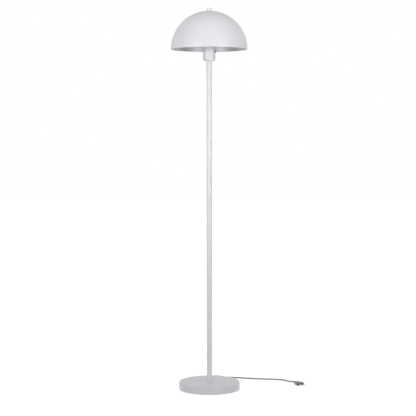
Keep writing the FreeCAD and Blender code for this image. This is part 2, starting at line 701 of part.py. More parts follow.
# ---- lampholder ----------------------------------------------------------------------------
def make_lampholder_base():
    bore = NIPPLE_RADIUS + THREAD_CLEARANCE
    floor_top = holder_bottom + HOLDER_FLOOR
    body = turned_polygon([
        (bore, holder_bottom), (holder_radius, holder_bottom), (holder_radius, neck_bottom),
        (neck_radius, neck_bottom), (neck_radius, neck_top), (holder_inner, neck_top),
        (holder_inner, floor_top), (HOLDER_COLLAR_RADIUS, floor_top),
        (HOLDER_COLLAR_RADIUS, floor_top + HOLDER_COLLAR_HEIGHT), (bore, floor_top + HOLDER_COLLAR_HEIGHT),
    ])
    guide = Part.makeCylinder(BUTTON_RADIUS + BUTTON_GUIDE, holder_radius + 1, V(0, 0, button_axis), V(1, 0, 0))
    return body.cut(guide)


def make_lampholder_shell():
    inner = holder_radius - SHELL_WALL
    sleeve = neck_radius + SLIP
    mouth = BULB_CAP_RADIUS + MOUTH_GAP
    return turned_polygon([
        (sleeve, neck_bottom), (holder_radius, neck_bottom), (holder_radius, holder_mouth - 1),
        (holder_radius - 1, holder_mouth), (mouth, holder_mouth),
        (mouth, holder_mouth - SHELL_LIP), (inner, holder_mouth - SHELL_LIP),
        (inner, insert_top), (sleeve, insert_top),
    ])


def make_lampholder_insert():
    return disc(neck_radius, INSERT_DISC, neck_top)


def make_screw_shell():
    inner = BULB_CAP_RADIUS + RUNNING_CLEARANCE
    outer = inner + SCREW_SHELL_WALL
    top = holder_mouth - SHELL_LIP - 1
    foot = TIP_RADIUS * 2
    return turned_polygon([
        (foot, insert_top), (outer, insert_top), (outer, top), (inner, top),
        (inner, insert_top + SCREW_SHELL_WALL), (foot, insert_top + SCREW_SHELL_WALL),
    ])


def make_centre_contact():
    """Bent spring strip under the bulb's tip."""
    thickness = 0.5
    low = insert_top
    high = insert_top + CONTACT_LIFT
    outline = [
        V(-7, -2.5, low), V(-4, -2.5, low), V(-1.5, -2.5, high - thickness), V(3.5, -2.5, high - thickness),
        V(3.5, -2.5, high), V(-1.8, -2.5, high), V(-4.2, -2.5, low + thickness), V(-7, -2.5, low + thickness),
    ]
    return Part.Face(Part.makePolygon(outline + outline[:1])).extrude(V(0, 5, 0))


def make_terminals():
    blocks = []
    for side in (-1, 1):
        half = TERMINAL_SIZE / 2
        block = Part.makeBox(TERMINAL_SIZE, TERMINAL_SIZE, TERMINAL_HEIGHT,
                             V(-half, side * TERMINAL_OFFSET - half, neck_top - TERMINAL_HEIGHT))
        screw = Part.makeCylinder(1.5, 2.0, V(half, side * TERMINAL_OFFSET, neck_top - TERMINAL_HEIGHT / 2), V(1, 0, 0))
        blocks.append(block.fuse(screw))
    return Part.makeCompound(blocks)


# ---- push switch ---------------------------------------------------------------------------
collar_outer = math.sqrt(holder_inner ** 2 - (BUTTON_RADIUS + BUTTON_COLLAR) ** 2) - 0.3
collar_inner = collar_outer - BUTTON_COLLAR_LENGTH
switch_front = collar_inner - BUTTON_TRAVEL - 0.4
spring_seat = switch_front - SPRING_POCKET


def along_x(radius, start, end):
    return Part.makeCylinder(radius, end - start, V(start, 0, button_axis), V(1, 0, 0))


def make_switch_button():
    end = CUP_DIAMETER / 2 + BUTTON_PROUD
    cap = along_x(BUTTON_RADIUS, collar_inner, end)
    rim = [edge for edge in cap.Edges if edge.BoundBox.XMin > end - 1e-6]
    cap = cap.makeFillet(0.8, rim)
    collar = along_x(BUTTON_RADIUS + BUTTON_COLLAR, collar_inner, collar_outer)
    stem = along_x(BUTTON_STEM_RADIUS, spring_seat + BUTTON_TRAVEL + 0.5, collar_inner)
    return cap.fuse(collar).fuse(stem)


def make_switch_block():
    block = Part.makeBox(SWITCH_LENGTH, SWITCH_WIDTH, SWITCH_HEIGHT,
                         V(switch_front - SWITCH_LENGTH, -SWITCH_WIDTH / 2, button_axis - SWITCH_HEIGHT / 2))
    upright = [edge for edge in block.Edges if edge.BoundBox.ZLength > SWITCH_HEIGHT - 1e-6]
    block = block.makeFillet(2.0, upright)
    return block.cut(along_x(SPRING_RADIUS + 0.4, spring_seat, switch_front + 1))


def make_switch_spring():
    """Compression spring between the block's pocket and the button's collar."""
    length = collar_inner - spring_seat - SPRING_WIRE
    radius = SPRING_RADIUS - SPRING_WIRE / 2
    sweep = 2 * math.pi * SPRING_TURNS
    first = V(spring_seat + SPRING_WIRE / 2, 0, button_axis)

    def point_at(t):
        return first + V(length * t / sweep, radius * math.cos(t), radius * math.sin(t))

    def heading_at(t):
        return V(length / sweep, -radius * math.sin(t), radius * math.cos(t)).normalize()

    edges = turns_of_biarcs(point_at, heading_at, sweep)
    return tube_along(edges, SPRING_WIRE / 2, point_at(0), heading_at(0), SPRING_SIDES)


# ---- bulb ----------------------------------------------------------------------------------
def make_bulb_glass():
    """Pear shape: straight neck, a hollow curve, and a sphere, all of one wall."""
    centre = V(0, 0, bulb_top - BULB_RADIUS)
    neck_end = cap_top + 1.5
    rise = centre.z - neck_end
    flare = (rise ** 2 + bulb_neck_radius ** 2 - BULB_RADIUS ** 2) / (2 * (BULB_RADIUS - bulb_neck_radius))
    flare_centre = V(bulb_neck_radius + flare, 0, neck_end)
    toward = (flare_centre - centre).normalize()
    neck_bottom_z = cap_bottom + 5

    def side(inset):
        ball = BULB_RADIUS - inset
        curve = flare + inset
        start = V(bulb_neck_radius - inset, 0, neck_end)
        join = centre + toward * ball
        middle_direction = ((start - flare_centre) + (join - flare_centre)).normalize()
        outward = (join - centre).normalize()
        quarter = (outward + V(0, 0, 1)).normalize()
        return [
            line(V(bulb_neck_radius - inset, 0, neck_bottom_z), start),
            arc(start, flare_centre + middle_direction * curve, join),
            arc(join, centre + quarter * ball, centre + V(0, 0, ball)),
        ]

    top = centre + V(0, 0, BULB_RADIUS)
    top_inside = centre + V(0, 0, BULB_RADIUS - BULB_WALL)
    lower_lip = line(V(bulb_neck_radius - BULB_WALL, 0, neck_bottom_z), V(bulb_neck_radius, 0, neck_bottom_z))
    edges = side(0.0) + [line(top, top_inside)] + side(BULB_WALL) + [lower_lip]
    return turned(Part.__sortEdges__(edges))


def make_bulb_cap():
    inner = bulb_neck_radius
    return turned_polygon([
        (TIP_RADIUS + 4, cap_bottom), (BULB_CAP_RADIUS - 1, cap_bottom), (BULB_CAP_RADIUS, cap_bottom + 2),
        (BULB_CAP_RADIUS, cap_top), (inner, cap_top), (inner, cap_bottom + 2.5), (TIP_RADIUS + 4, cap_bottom + 1),
    ])


def make_bulb_insulator():
    bottom = bulb_bottom + TIP_HEIGHT
    wide = TIP_RADIUS + 4
    return turned_polygon([(0, bottom), (TIP_RADIUS, bottom), (wide, cap_bottom), (wide, cap_bottom + 1), (0, cap_bottom + 1)])


def make_bulb_tip():
    tip = Part.makeCylinder(TIP_RADIUS, TIP_HEIGHT, V(0, 0, bulb_bottom))
    rim = [edge for edge in tip.Edges if edge.BoundBox.ZMax < bulb_bottom + 1e-6]
    return tip.makeFillet(0.8, rim)


# ---- mains lead ----------------------------------------------------------------------------
cord_out = V(math.cos(math.radians(CORD_ANGLE)), math.sin(math.radians(CORD_ANGLE)), 0)
bushing_tip = cord_out * (BASE_DIAMETER / 2 + BUSHING_OUT) + V(0, 0, CORD_UP)


def make_supply_cord():
    """From the strain relief's tip to the middle of the base, then up the pole."""
    points = [bushing_tip, V(0, 0, CORD_UP), V(0, 0, sheath_end)]
    edges = rounded_path(points, lambda i, turn: cord_bend)
    return tube_along(edges, cord_radius, bushing_tip, cord_out * -1)


def make_cord_cores():
    """Each core leaves the sheath, swings out past the switch and rises to its terminal."""
    top = neck_top - TERMINAL_HEIGHT
    beside = cord_radius / 2
    cores = []
    for side in (-1, 1):
        start = V(0, side * beside, sheath_end)
        points = [start, V(0, side * beside, sheath_end + CORE_BEND),
                  V(0, side * TERMINAL_OFFSET, sheath_end + 4 * CORE_BEND),
                  V(0, side * TERMINAL_OFFSET, top)]
        edges = rounded_path(points, lambda i, turn: CORE_BEND)
        cores.append(tube_along(edges, CORE_RADIUS, start, V(0, 0, 1)))
    return Part.makeCompound(cores)


def cord_section():
    """Area of the free lead's section, a polygon with its corners on the lead's circle."""
    return CORD_SIDES / 2 * cord_radius ** 2 * math.sin(2 * math.pi / CORD_SIDES)


def cord_radius_rule(points):
    """Each arc as large as its two runs allow: 0.45 of the shorter run, over tan(half the turn)."""
    def radius_at(i, turn):
        shorter = min(points[i].distanceToPoint(points[i - 1]), points[i + 1].distanceToPoint(points[i]))
        return 0.45 * shorter / math.tan(turn / 2)
    return radius_at


def make_free_tube(name, points):
    rule = cord_radius_rule(points)
    radii = []
    for i in range(1, len(points) - 1):
        before = (points[i] - points[i - 1]).normalize()
        after = (points[i + 1] - points[i]).normalize()
        radii.append(rule(i, math.acos(before.dot(after))))
    edges = rounded_path(points, rule)
    heading = (points[1] - points[0]).normalize()
    tube = tube_along(edges, cord_radius, points[0], heading, CORD_SIDES)
    length = sum(edge.Length for edge in edges)
    expected = cord_section() * length
    print(name, "length %.1f" % length, "volume/expected %.5f" % (tube.Volume / expected),
          "radii", [round(r, 1) for r in radii])
    return tube


# Coil: the spiral starts outside on the upper layer, runs inwards, drops a layer in the half
# turn where it reverses, and runs outwards on the lower layer.
coil_slope = math.atan(coil_pitch / (2 * math.pi * COIL_OUTER))
coil_first = math.radians(COIL_START_ANGLE) + coil_slope
coil_last = math.radians(COIL_END_ANGLE) - coil_slope
coil_sweep = coil_first - coil_last + 2 * math.pi * COIL_FULL_TURNS
coil_middle = coil_sweep / 2
coil_floor = cord_radius + TIE_THICKNESS + TIE_GAP
coil_inner = COIL_OUTER - coil_pitch * coil_middle / (2 * math.pi)
QUARTER = math.pi / 2


def coil_point(t):
    """Clockwise from above: radius falls and grows by one pitch a turn, with a smooth turning point."""
    s = t - coil_middle
    if abs(s) < QUARTER:
        grown = s * s / math.pi + QUARTER / 2
        ease = (s + QUARTER) / math.pi
        height = 1 - ease * ease * (3 - 2 * ease)
    else:
        grown = abs(s)
        height = 1.0 if s < 0 else 0.0
    radius = coil_inner + coil_pitch * grown / (2 * math.pi)
    angle = coil_first - t
    return COIL_CENTRE + V(radius * math.cos(angle), radius * math.sin(angle), coil_floor + coil_pitch * height)


def coil_heading(t):
    step = 1e-4
    before = max(0.0, t - step)
    after = min(coil_sweep, t + step)
    return (coil_point(after) - coil_point(before)).normalize()


coil_in = coil_point(0) - coil_heading(0) * CORD_DIAMETER
coil_out = coil_point(coil_sweep) + coil_heading(coil_sweep) * CORD_DIAMETER


def make_cord_coil():
    edges = [line(coil_in, coil_point(0))]
    edges += turns_of_biarcs(coil_point, coil_heading, coil_sweep)
    edges.append(line(coil_point(coil_sweep), coil_out))
    coil = tube_along(edges, cord_radius, coil_in, coil_heading(0), CORD_SIDES)
    length = sum(edge.Length for edge in edges)
    expected = cord_section() * length
    print("cord_coil length %.1f" % length, "volume/expected %.5f" % (coil.Volume / expected),
          "inner radius %.1f" % coil_inner, "least gap %.2f" % least_coil_gap(edges))
    return coil


def least_coil_gap(edges):
    """Shortest distance between points over half a turn apart along the tube, less its diameter."""
    points = []
    for edge in edges:
        count = max(2, int(edge.Length / 1.5))
        for i in range(count):
            points.append((edge.valueAt(edge.FirstParameter
                                        + (edge.LastParameter - edge.FirstParameter) * i / count)))
    spacing = sum(edge.Length for edge in edges) / len(points)
    skip = int(math.pi * coil_inner / spacing)
    least = 1e9
    for i, point in enumerate(points):
        for other in points[i + skip:]:
            if abs(point.x - other.x) < 9 and abs(point.y - other.y) < 9:
                least = min(least, point.distanceToPoint(other))
    return least - CORD_DIAMETER


def make_cord_tie():
    """Strap round the bundle of turns."""
    gap = TIE_GAP
    inner_side = coil_inner - cord_radius - gap
    outer_side = COIL_OUTER + cord_radius + gap
    low = TIE_THICKNESS
    high = coil_floor + coil_pitch + cord_radius + gap
    half = TIE_WIDTH / 2

    def block(grow, width):
        box = Part.makeBox(outer_side - inner_side + 2 * grow, width, high - low + 2 * grow,
                           V(inner_side - grow, -width / 2, low - grow))
        along = [edge for edge in box.Edges if edge.BoundBox.YLength > width - 1e-6]
        return box.makeFillet(1.2 + grow, along)

    tie = block(TIE_THICKNESS, 2 * half).cut(block(0.0, 2 * half + 2))
    return moved(turned_about_z(tie, TIE_ANGLE), COIL_CENTRE)


def lead_points():
    return [bushing_tip] + [V(*point) for point in LEAD_POINTS] + [coil_in]


def run_points():
    return [coil_out] + [V(*point) for point in RUN_POINTS]


# ---- plug ----------------------------------------------------------------------------------
def on_the_plug(solid):
    """Put a piece made along +X from 0 at the end of the lead, in line with it."""
    end = V(*RUN_POINTS[-1])
    before = V(*RUN_POINTS[-2])
    heading = math.degrees(math.atan2(end.y - before.y, end.x - before.x))
    return moved(turned_about_z(solid, heading), end)


def stadium(x, width, thickness):
    """Flat oval across X: two straight sides and two half circles."""
    r = thickness / 2
    y = width / 2 - r
    return Part.Wire([
        line(V(x, -y, -r), V(x, y, -r)), arc(V(x, y, -r), V(x, y + r, 0), V(x, y, r)),
        line(V(x, y, r), V(x, -y, r)), arc(V(x, -y, r), V(x, -y - r, 0), V(x, -y, -r)),
    ])


def make_plug_body():
    face = PLUG_TAIL + PLUG_BODY
    profile = [(0.0, 0.0)] + grooved_taper(0.0, PLUG_TAIL, TAIL_TIP_RADIUS, TAIL_ROOT_RADIUS)
    profile += [(PLUG_TAIL + 1, TAIL_ROOT_RADIUS), (PLUG_TAIL + 1, 0.0)]
    corners = [V(x, 0, r) for x, r in profile]
    face_of_tail = Part.Face(Part.makePolygon(corners + corners[:1]))
    tail = face_of_tail.revolve(V(0, 0, 0), V(1, 0, 0), 360)
    sections = [
        stadium(PLUG_TAIL, 14.0, 11.0),
        stadium(PLUG_TAIL + PLUG_BODY * 0.55, PLUG_WIDTH * 0.84, PLUG_THICKNESS),
        stadium(PLUG_TAIL + PLUG_BODY * 0.8, PLUG_WIDTH, PLUG_THICKNESS),
        stadium(face, PLUG_WIDTH, PLUG_THICKNESS),
    ]
    body = Part.makeLoft(sections, True, True)
    plug = body.fuse(tail)
    for side in (-1, 1):
        root = V(face - PIN_ROOT_LENGTH, side * PIN_SPACING / 2, 0)
        plug = plug.cut(Part.makeCylinder(PIN_ROOT_RADIUS, PIN_ROOT_LENGTH, root, V(1, 0, 0)))
    return on_the_plug(plug)


def make_plug_pins():
    face = PLUG_TAIL + PLUG_BODY
    pins = []
    for side in (-1, 1):
        y = side * PIN_SPACING / 2
        pin = Part.makeCylinder(PIN_RADIUS, PIN_LENGTH, V(face, y, 0), V(1, 0, 0))
        rim = [edge for edge in pin.Edges if edge.BoundBox.XMin > face + PIN_LENGTH - 1e-6]
        root = Part.makeCylinder(PIN_ROOT_RADIUS, PIN_ROOT_LENGTH, V(face - PIN_ROOT_LENGTH, y, 0), V(1, 0, 0))
        pins.append(on_the_plug(pin.makeFillet(PIN_TIP, rim).fuse(root)))
    return Part.makeCompound(pins)


# ---- all nodes -----------------------------------------------------------------------------
nodes = {
    "base_cover": make_base_cover(),
    "base_weight": make_base_weight(),
    "bottom_plate": make_bottom_plate(),
    "plate_screws": make_plate_screws(),
    "foot_pad": make_foot_pad(),
    "base_nipple": make_base_nipple(),
    "base_washer": make_base_washer(),
    "base_nut": make_base_nut(),
    "cord_bushing": make_cord_bushing(),
    "cord_stop": make_cord_stop(),
    "pole_lower": make_pole_section(0),
    "pole_middle": make_pole_section(1),
    "pole_upper": make_pole_section(2),
    "pole_bushes": make_pole_bushes(),
    "pole_joiners": make_pole_joiners(),
    "socket_cup": make_socket_cup(),
    "harp": make_harp(),
    "harp_stud": make_harp_stud(),
    "head_nut": make_head_nut(),
    "head_nipple": make_head_nipple(),
    "shade": make_shade(),
    "washer_below_shade": make_washer(bridge_top, WASHER_BELOW),
    "washer_above_shade": make_washer(shade_top, WASHER_ABOVE),
    "knob": make_knob(),
    "knob_insert": make_knob_insert(),
    "lampholder_base": make_lampholder_base(),
    "lampholder_shell": make_lampholder_shell(),
    "lampholder_insert": make_lampholder_insert(),
    "screw_shell": make_screw_shell(),
    "centre_contact": make_centre_contact(),
    "terminals": make_terminals(),
    "switch_button": make_switch_button(),
    "switch_block": make_switch_block(),
    "switch_spring": make_switch_spring(),
    "bulb_glass": make_bulb_glass(),
    "bulb_cap": make_bulb_cap(),
    "bulb_insulator": make_bulb_insulator(),
    "bulb_tip": make_bulb_tip(),
    "supply_cord": make_supply_cord(),
    "cord_cores": make_cord_cores(),
    "cord_lead": make_free_tube("cord_lead", lead_points()),
    "cord_coil": make_cord_coil(),
    "cord_tie": make_cord_tie(),
    "cord_run": make_free_tube("cord_run", run_points()),
    "plug_body": make_plug_body(),
    "plug_pins": make_plug_pins(),
}

os.makedirs("parts", exist_ok=True)
for name, shape in nodes.items():
    shape.exportStep("parts/" + name + ".step")
    if not shape.isValid():
        print("not valid:", name)
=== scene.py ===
"""Mushroom floor lamp: the looks of every piece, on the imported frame.

Metres, +Z up, the origin at the middle of the base's underside, -Y towards the viewer.
The lead leaves the base at the back and the push button points to +X.
"""

import json
import math

import bpy
import numpy as np
from mathutils import Matrix, Vector


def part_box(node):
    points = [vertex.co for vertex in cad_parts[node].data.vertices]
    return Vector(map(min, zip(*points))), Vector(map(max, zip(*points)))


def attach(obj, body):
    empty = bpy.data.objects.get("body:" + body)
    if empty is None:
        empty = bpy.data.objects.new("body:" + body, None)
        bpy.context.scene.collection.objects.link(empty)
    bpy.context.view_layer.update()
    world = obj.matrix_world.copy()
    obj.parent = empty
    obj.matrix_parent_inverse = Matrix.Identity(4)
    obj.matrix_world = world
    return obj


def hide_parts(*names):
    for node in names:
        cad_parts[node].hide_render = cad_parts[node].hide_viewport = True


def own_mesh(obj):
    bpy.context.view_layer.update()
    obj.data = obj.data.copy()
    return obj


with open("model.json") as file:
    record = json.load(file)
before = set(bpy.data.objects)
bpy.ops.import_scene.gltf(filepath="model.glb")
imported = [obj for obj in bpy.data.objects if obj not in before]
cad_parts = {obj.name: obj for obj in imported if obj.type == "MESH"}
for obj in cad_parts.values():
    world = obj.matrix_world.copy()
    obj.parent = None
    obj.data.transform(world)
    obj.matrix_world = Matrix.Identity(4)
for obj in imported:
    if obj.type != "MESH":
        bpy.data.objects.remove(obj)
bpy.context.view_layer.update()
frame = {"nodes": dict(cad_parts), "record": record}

bl_info = {
    "name": "Mushroom Floor Lamp",
    "version": (1, 0, 0),
    "blender": (4, 5, 0),
    "location": "View3D > Sidebar > Floor Lamp",
    "description": "Builds the looks of a dome-shaded floor lamp on its packed frame",
    "category": "Object",
}

TURN = 2 * math.pi


# ---- settings ----
def size(label, words, metres):
    """A length property."""
    return bpy.props.FloatProperty(
        name=label, description=words, default=metres, min=0.0, subtype="DISTANCE", unit="LENGTH", precision=5
    )


def colour(label, words, red, green, blue):
    """A colour property."""
    return bpy.props.FloatVectorProperty(
        name=label, description=words, default=(red, green, blue), size=3, min=0.0, max=1.0, subtype="COLOR"
    )


def number(label, words, value, low=0.0):
    """A plain number property."""
    return bpy.props.FloatProperty(name=label, description=words, default=value, min=low)


def tilt(label, words, degrees):
    """An angle property."""
    return bpy.props.FloatProperty(
        name=label, description=words, default=math.radians(degrees), subtype="ANGLE", unit="ROTATION"
    )


def whole(label, words, value):
    """A property that counts turns."""
    return bpy.props.IntProperty(name=label, description=words, default=value, min=1)


class LampSizes(bpy.types.PropertyGroup):
    """Sizes of the lamp's own sheet metal and turned pieces."""

    shade_wall: size("Shade wall", "Thickness of the spun dome", 0.0010)
    hem_radius: size("Hem radius", "Radius of the dome's rolled edge", 0.0013)
    hem_proud: size("Hem proud", "How far the rolled edge stands out of the dome", 0.0006)
    shade_flat: size("Shade flat", "Radius of the pressed flat round the dome's hole", 0.012)
    shade_hole: size("Shade hole", "Radius of the dome's hole", 0.0033)
    cover_wall: size("Cover wall", "Thickness of the base's cover", 0.0012)
    cover_corner: size("Cover corner", "Outer radius of the cover's upper edge", 0.003)
    cover_hole: size("Cover hole", "Radius of the hole for the hollow threaded tube", 0.00525)
    notch: size("Lead notch", "Half width of the notch that the strain relief sits in", 0.004)
    pole_wall: size("Pole wall", "Thickness of the tube", 0.0012)
    pole_chamfer: size("Pole chamfer", "Chamfer at both ends of a tube", 0.00025)
    knob_edge: size("Knob edge", "Radius of the knob's upper edge", 0.0016)
    knob_bore: size("Knob bore", "Radius of the hole for the knob's threaded insert", 0.0045)
    bracket_thickness: size("Bracket thickness", "Thickness of the bent strap that carries the dome", 0.0016)
    bracket_shoulder: size("Bracket shoulder", "From the cup's mouth to where the bracket is widest", 0.028)
    bracket_crown: size("Bracket crown", "How far the bracket's upper corners are below its top", 0.008)
    bracket_bridge: size("Bracket bridge", "Half length of the bracket's bridge", 0.018)
    arm_gap: size("Arm gap", "Between the cup's wall and the corners of the bracket's arms", 0.0003)
    cup_wall: size("Cup wall", "Thickness of the lampholder cup", 0.001)
    thread_pitch: size("Thread pitch", "Rise of the bulb's thread in one turn", 0.0036)
    thread_depth: size("Thread depth", "Depth of the bulb's thread", 0.0009)
    button_edge: size("Button edge", "Radius of the push button's edge", 0.0008)
    spring_wire: size("Spring wire", "Diameter of the switch spring's wire", 0.0005)
    spring_turns: whole("Spring turns", "Turns of the switch spring", 5)


class LeadSizes(bpy.types.PropertyGroup):
    """Sizes of the mains lead and what is on it."""

    diameter: size("Lead diameter", "Outside of the mains lead", 0.0055)
    length: size("Lead length", "Free lead from the strain relief to the plug", 1.642)
    height: size("Lead height", "Height of the lead's axis where it leaves the base", 0.006)
    angle: tilt("Lead angle", "Where the lead leaves the base, counted from +X", 98.0)
    relief_out: size("Strain relief", "Length of the strain relief outside the base", 0.02)
    relief_neck: size("Relief neck", "Radius of the strain relief in the cover's notch", 0.0039)
    relief_root: size("Relief root", "Radius of the strain relief at the cover", 0.0048)
    relief_tip: size("Relief tip", "Radius of the strain relief at its tip", 0.0036)
    groove_width: size("Groove width", "Width of the rings in both strain reliefs", 0.0013)
    groove_depth: size("Groove depth", "Depth of the rings in both strain reliefs", 0.0007)
    strap_width: size("Strap width", "Width of the strap round the coil", 0.008)
    strap_thickness: size("Strap thickness", "Thickness of one layer of the strap", 0.0004)
    plug_tail: size("Plug tail", "Length of the plug's strain relief", 0.018)
    plug_body: size("Plug body", "Length of the plug's body", 0.034)
    plug_width: size("Plug width", "Width of the plug's body", 0.035)
    plug_thickness: size("Plug thickness", "Thickness of the plug's body", 0.0138)
    pin_radius: size("Pin radius", "Radius of a plug pin", 0.002)
    pin_length: size("Pin length", "Length of a plug pin", 0.019)
    pin_spacing: size("Pin spacing", "Between the plug pins' middles", 0.0186)
    sleeve_length: size("Pin sleeve", "Length of the insulating sleeve on a pin", 0.010)
    coil_radius: size("Coil radius", "Radius of the coil's outermost turn", 0.0415)
    coil_pitch: size("Coil pitch", "From turn to turn, across and upwards", 0.0061)
    coil_floor: size("Coil floor", "Height of the lead's axis in the lower layer", 0.00365)
    coil_turns: whole("Coil turns", "Full turns of the coil", 6)


class PaintColours(bpy.types.PropertyGroup):
    """Colours of the finishes."""

    paint: colour("Powder coat", "The lamp's own white", 0.735, 0.738, 0.768)
    lead: colour("Lead", "Jacket of the mains lead and the plug", 0.30, 0.292, 0.285)
    black: colour("Black plastic", "Push button and small mouldings", 0.012, 0.012, 0.013)
    nylon: colour("Nylon", "Lampholder insert", 0.62, 0.60, 0.55)
    glass: colour("Opal glass", "Bulb", 0.93, 0.92, 0.90)
    brass: colour("Brass", "Insert, terminals and screw shell", 0.72, 0.50, 0.22)
    steel: colour("Zinc plate", "Plated steel pieces", 0.58, 0.59, 0.60)
    iron: colour("Cast iron", "Weight in the base", 0.055, 0.054, 0.053)
    foam: colour("Foam", "Ring under the base", 0.028, 0.028, 0.030)


class StudioSettings(bpy.types.PropertyGroup):
    """Camera and lights."""

    camera_distance: size("Camera distance", "From the lamp's axis to the lens", 4.761)
    camera_height: size("Camera height", "Lens above the floor", 1.008)
    lens: number("Lens", "Focal length in millimetres", 104.9, 1.0)
    pitch: tilt("Pitch", "How far the camera looks down", 3.475)
    yaw: tilt("Yaw", "How far the camera looks to the right", -0.0618)
    roll: tilt("Roll", "How far the camera leans", -0.0367)
    key_power: number("Key power", "Watts of each front light", 4.1)
    key_spread: tilt("Key spread", "Opening of the front lights' beams", 42)
    top_power: number("Top power", "Watts of the light above", 1.0)
    base_power: number("Base power", "Watts of the light on the base", 0.13)
    back_power: number("Back power", "Watts of the light behind", 6.0)
    sky: number("Sky", "White surround above the horizon", 0.76)
    bounce: number("Bounce", "White surround below the horizon", 0.52)
    floor_glow: number("Floor glow", "Light that the lit floor panel gives by itself", 0.50)


# ---- surfaces ----
def make_mesh(name, points, faces, slot, body="lamp", crease=35.0):
    """Mesh object from an array of points and a list of face index arrays.

    The signed volume, a sum of corner . (next x after next) / 6, says whether faces point out.
    """
    points = points.reshape(-1, 3)
    tris = np.vstack([
        np.column_stack((f[:, 0], f[:, i], f[:, i + 1])) for f in faces for i in range(1, f.shape[1] - 1)
    ])
    a, b, c = (points[corner] for corner in tris.T)
    inward = np.einsum("ij,ij->", a, np.cross(b, c)) < 0
    rows = [row for f in faces for row in (f[:, ::-1] if inward else f).tolist()]
    mesh = bpy.data.meshes.new(name)
    mesh.from_pydata(points.tolist(), [], rows)
    mesh.shade_smooth()
    mesh.set_sharp_from_angle(angle=math.radians(crease))
    mesh.materials.append(FINISHES[slot])
    piece = bpy.data.objects.new(name, mesh)
    bpy.context.scene.collection.objects.link(piece)
    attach(piece, body)
    return piece


def ring_faces(rows, columns, closed_rows=True, start=0):
    """Quads of a grid whose columns close on themselves, and whose rows may."""
    last = rows if closed_rows else rows - 1
    i, j = np.meshgrid(np.arange(last), np.arange(columns), indexing="ij")
    i, j = i.ravel(), j.ravel()
    up, along = (i + 1) % rows, (j + 1) % columns
    return start + np.column_stack((i * columns + j, i * columns + along, up * columns + along, up * columns + j))


def fan_faces(first, columns, tip):
    """Triangles from one row of a grid to a single point."""
    j = np.arange(columns)
    return np.column_stack((first + j, first + (j + 1) % columns, np.full(columns, tip)))


def turned_points(profile, angles):
    """Points (r cos a, r sin a, z) for every (r, z) of the profile and every angle."""
    r, z = profile[:, :1], profile[:, 1:]
    return np.stack((r * np.cos(angles), r * np.sin(angles), z + 0 * angles), axis=-1)


def even_angles(count):
    """The angles 2 pi i / count of one turn."""
    return np.arange(count) * TURN / count


def arc_points(centre, radius, first, last, count):
    """Points of a circle in the profile's plane, centre + radius (cos a, sin a)."""
    a = np.linspace(first, last, count)
    return np.column_stack((centre[0] + radius * np.cos(a), centre[1] + radius * np.sin(a)))


def rounded_outline(corners, count=6):
    """Closed outline in a plane whose corners (x, y, radius) are rounded.

    A corner's arc starts radius tan(turn / 2) before it, and its centre is square to both sides.
    One more point a hair outside each end of an arc keeps the flats flat when they are shaded smooth.
    """
    corners = np.asarray(corners, float)
    points = []
    for before, (x, y, radius), after in zip(np.roll(corners, 1, 0), corners, np.roll(corners, -1, 0)):
        here = np.array((x, y))
        if radius <= 0:
            points.append(here[None])
            continue
        u = (before[:2] - here) / np.linalg.norm(before[:2] - here)
        v = (after[:2] - here) / np.linalg.norm(after[:2] - here)
        half = math.acos(float(np.clip(u @ v, -1, 1))) / 2
        back = radius / math.tan(half)
        centre = here + (u + v) / np.linalg.norm(u + v) * radius / math.sin(half)
        start, end = here + u * back - centre, here + v * back - centre
        sweep = math.pi - 2 * half
        t = np.linspace(0, 1, count)[:, None]
        blend = (np.sin((1 - t) * sweep) * start + np.sin(t * sweep) * end) / math.sin(sweep)
        hair = 0.06 * radius
        points.append(np.vstack((here + u * (back + hair), centre + blend, here + v * (back + hair))))
    return np.vstack(points)


def rounded_box(x, y, radius, count):
    """Rounded outline of the oblong from (-x, -y) to (x, y)."""
    return rounded_outline([(-x, -y, radius), (x, -y, radius), (x, y, radius), (-x, y, radius)], count)


def ringed_piece(name, grid, slot, body="lamp"):
    """A piece from a grid of points whose rows and columns both close on themselves."""
    return make_mesh(name, grid, [ring_faces(*grid.shape[:2])], slot, body)


def turned_piece(name, profile, columns, slot, body="lamp"):
    """A piece from a closed (r, z) profile carried round the Z axis."""
    return ringed_piece(name, turned_points(profile, even_angles(columns)), slot, body)


def along_axis(points, origin, heading):
    """Points made along +X, turned level to a heading and moved: o + x h + y (z cross h) + z up."""
    h = np.asarray(heading, float) / np.linalg.norm(heading)
    side = np.cross((0.0, 0.0, 1.0), h)
    x, y, z = points[..., 0:1], points[..., 1:2], points[..., 2:3]
    return np.asarray(origin) + x * h + y * side + z * np.cross(h, side)


def turned_along(profile, columns):
    """Points (x, r cos a, r sin a) for every (x, r) of a profile turned about its X axis."""
    around = turned_points(profile[:, ::-1], even_angles(columns))
    return np.stack((around[..., 2], around[..., 0], around[..., 1]), axis=-1)


def carried(path, across, section, closed=True):
    """A flat section (u, v) carried along a path: p + u n + v b.

    n is square to the path in its plane, and b = across is square to the plane.
    """
    ahead, behind = np.roll(path, -1, 0), np.roll(path, 1, 0)
    if not closed:
        ahead[-1], behind[0] = 2 * path[-1] - path[-2], 2 * path[0] - path[1]
    tangent = ahead - behind
    tangent /= np.linalg.norm(tangent, axis=1)[:, None]
    normal = np.cross(tangent, across)
    return path[:, None] + normal[:, None] * section[:, :1] + np.asarray(across) * section[:, 1:]


def end_caps(points):
    """Add the middle of a grid's first and last rows, and the triangles that close it there."""
    rows, columns = points.shape[:2]
    count = rows * columns
    faces = [ring_faces(rows, columns, False), fan_faces(0, columns, count)[:, ::-1]]
    faces.append(fan_faces(count - columns, columns, count + 1))
    return np.vstack((points.reshape(-1, 3), points[0].mean(0), points[-1].mean(0))), faces


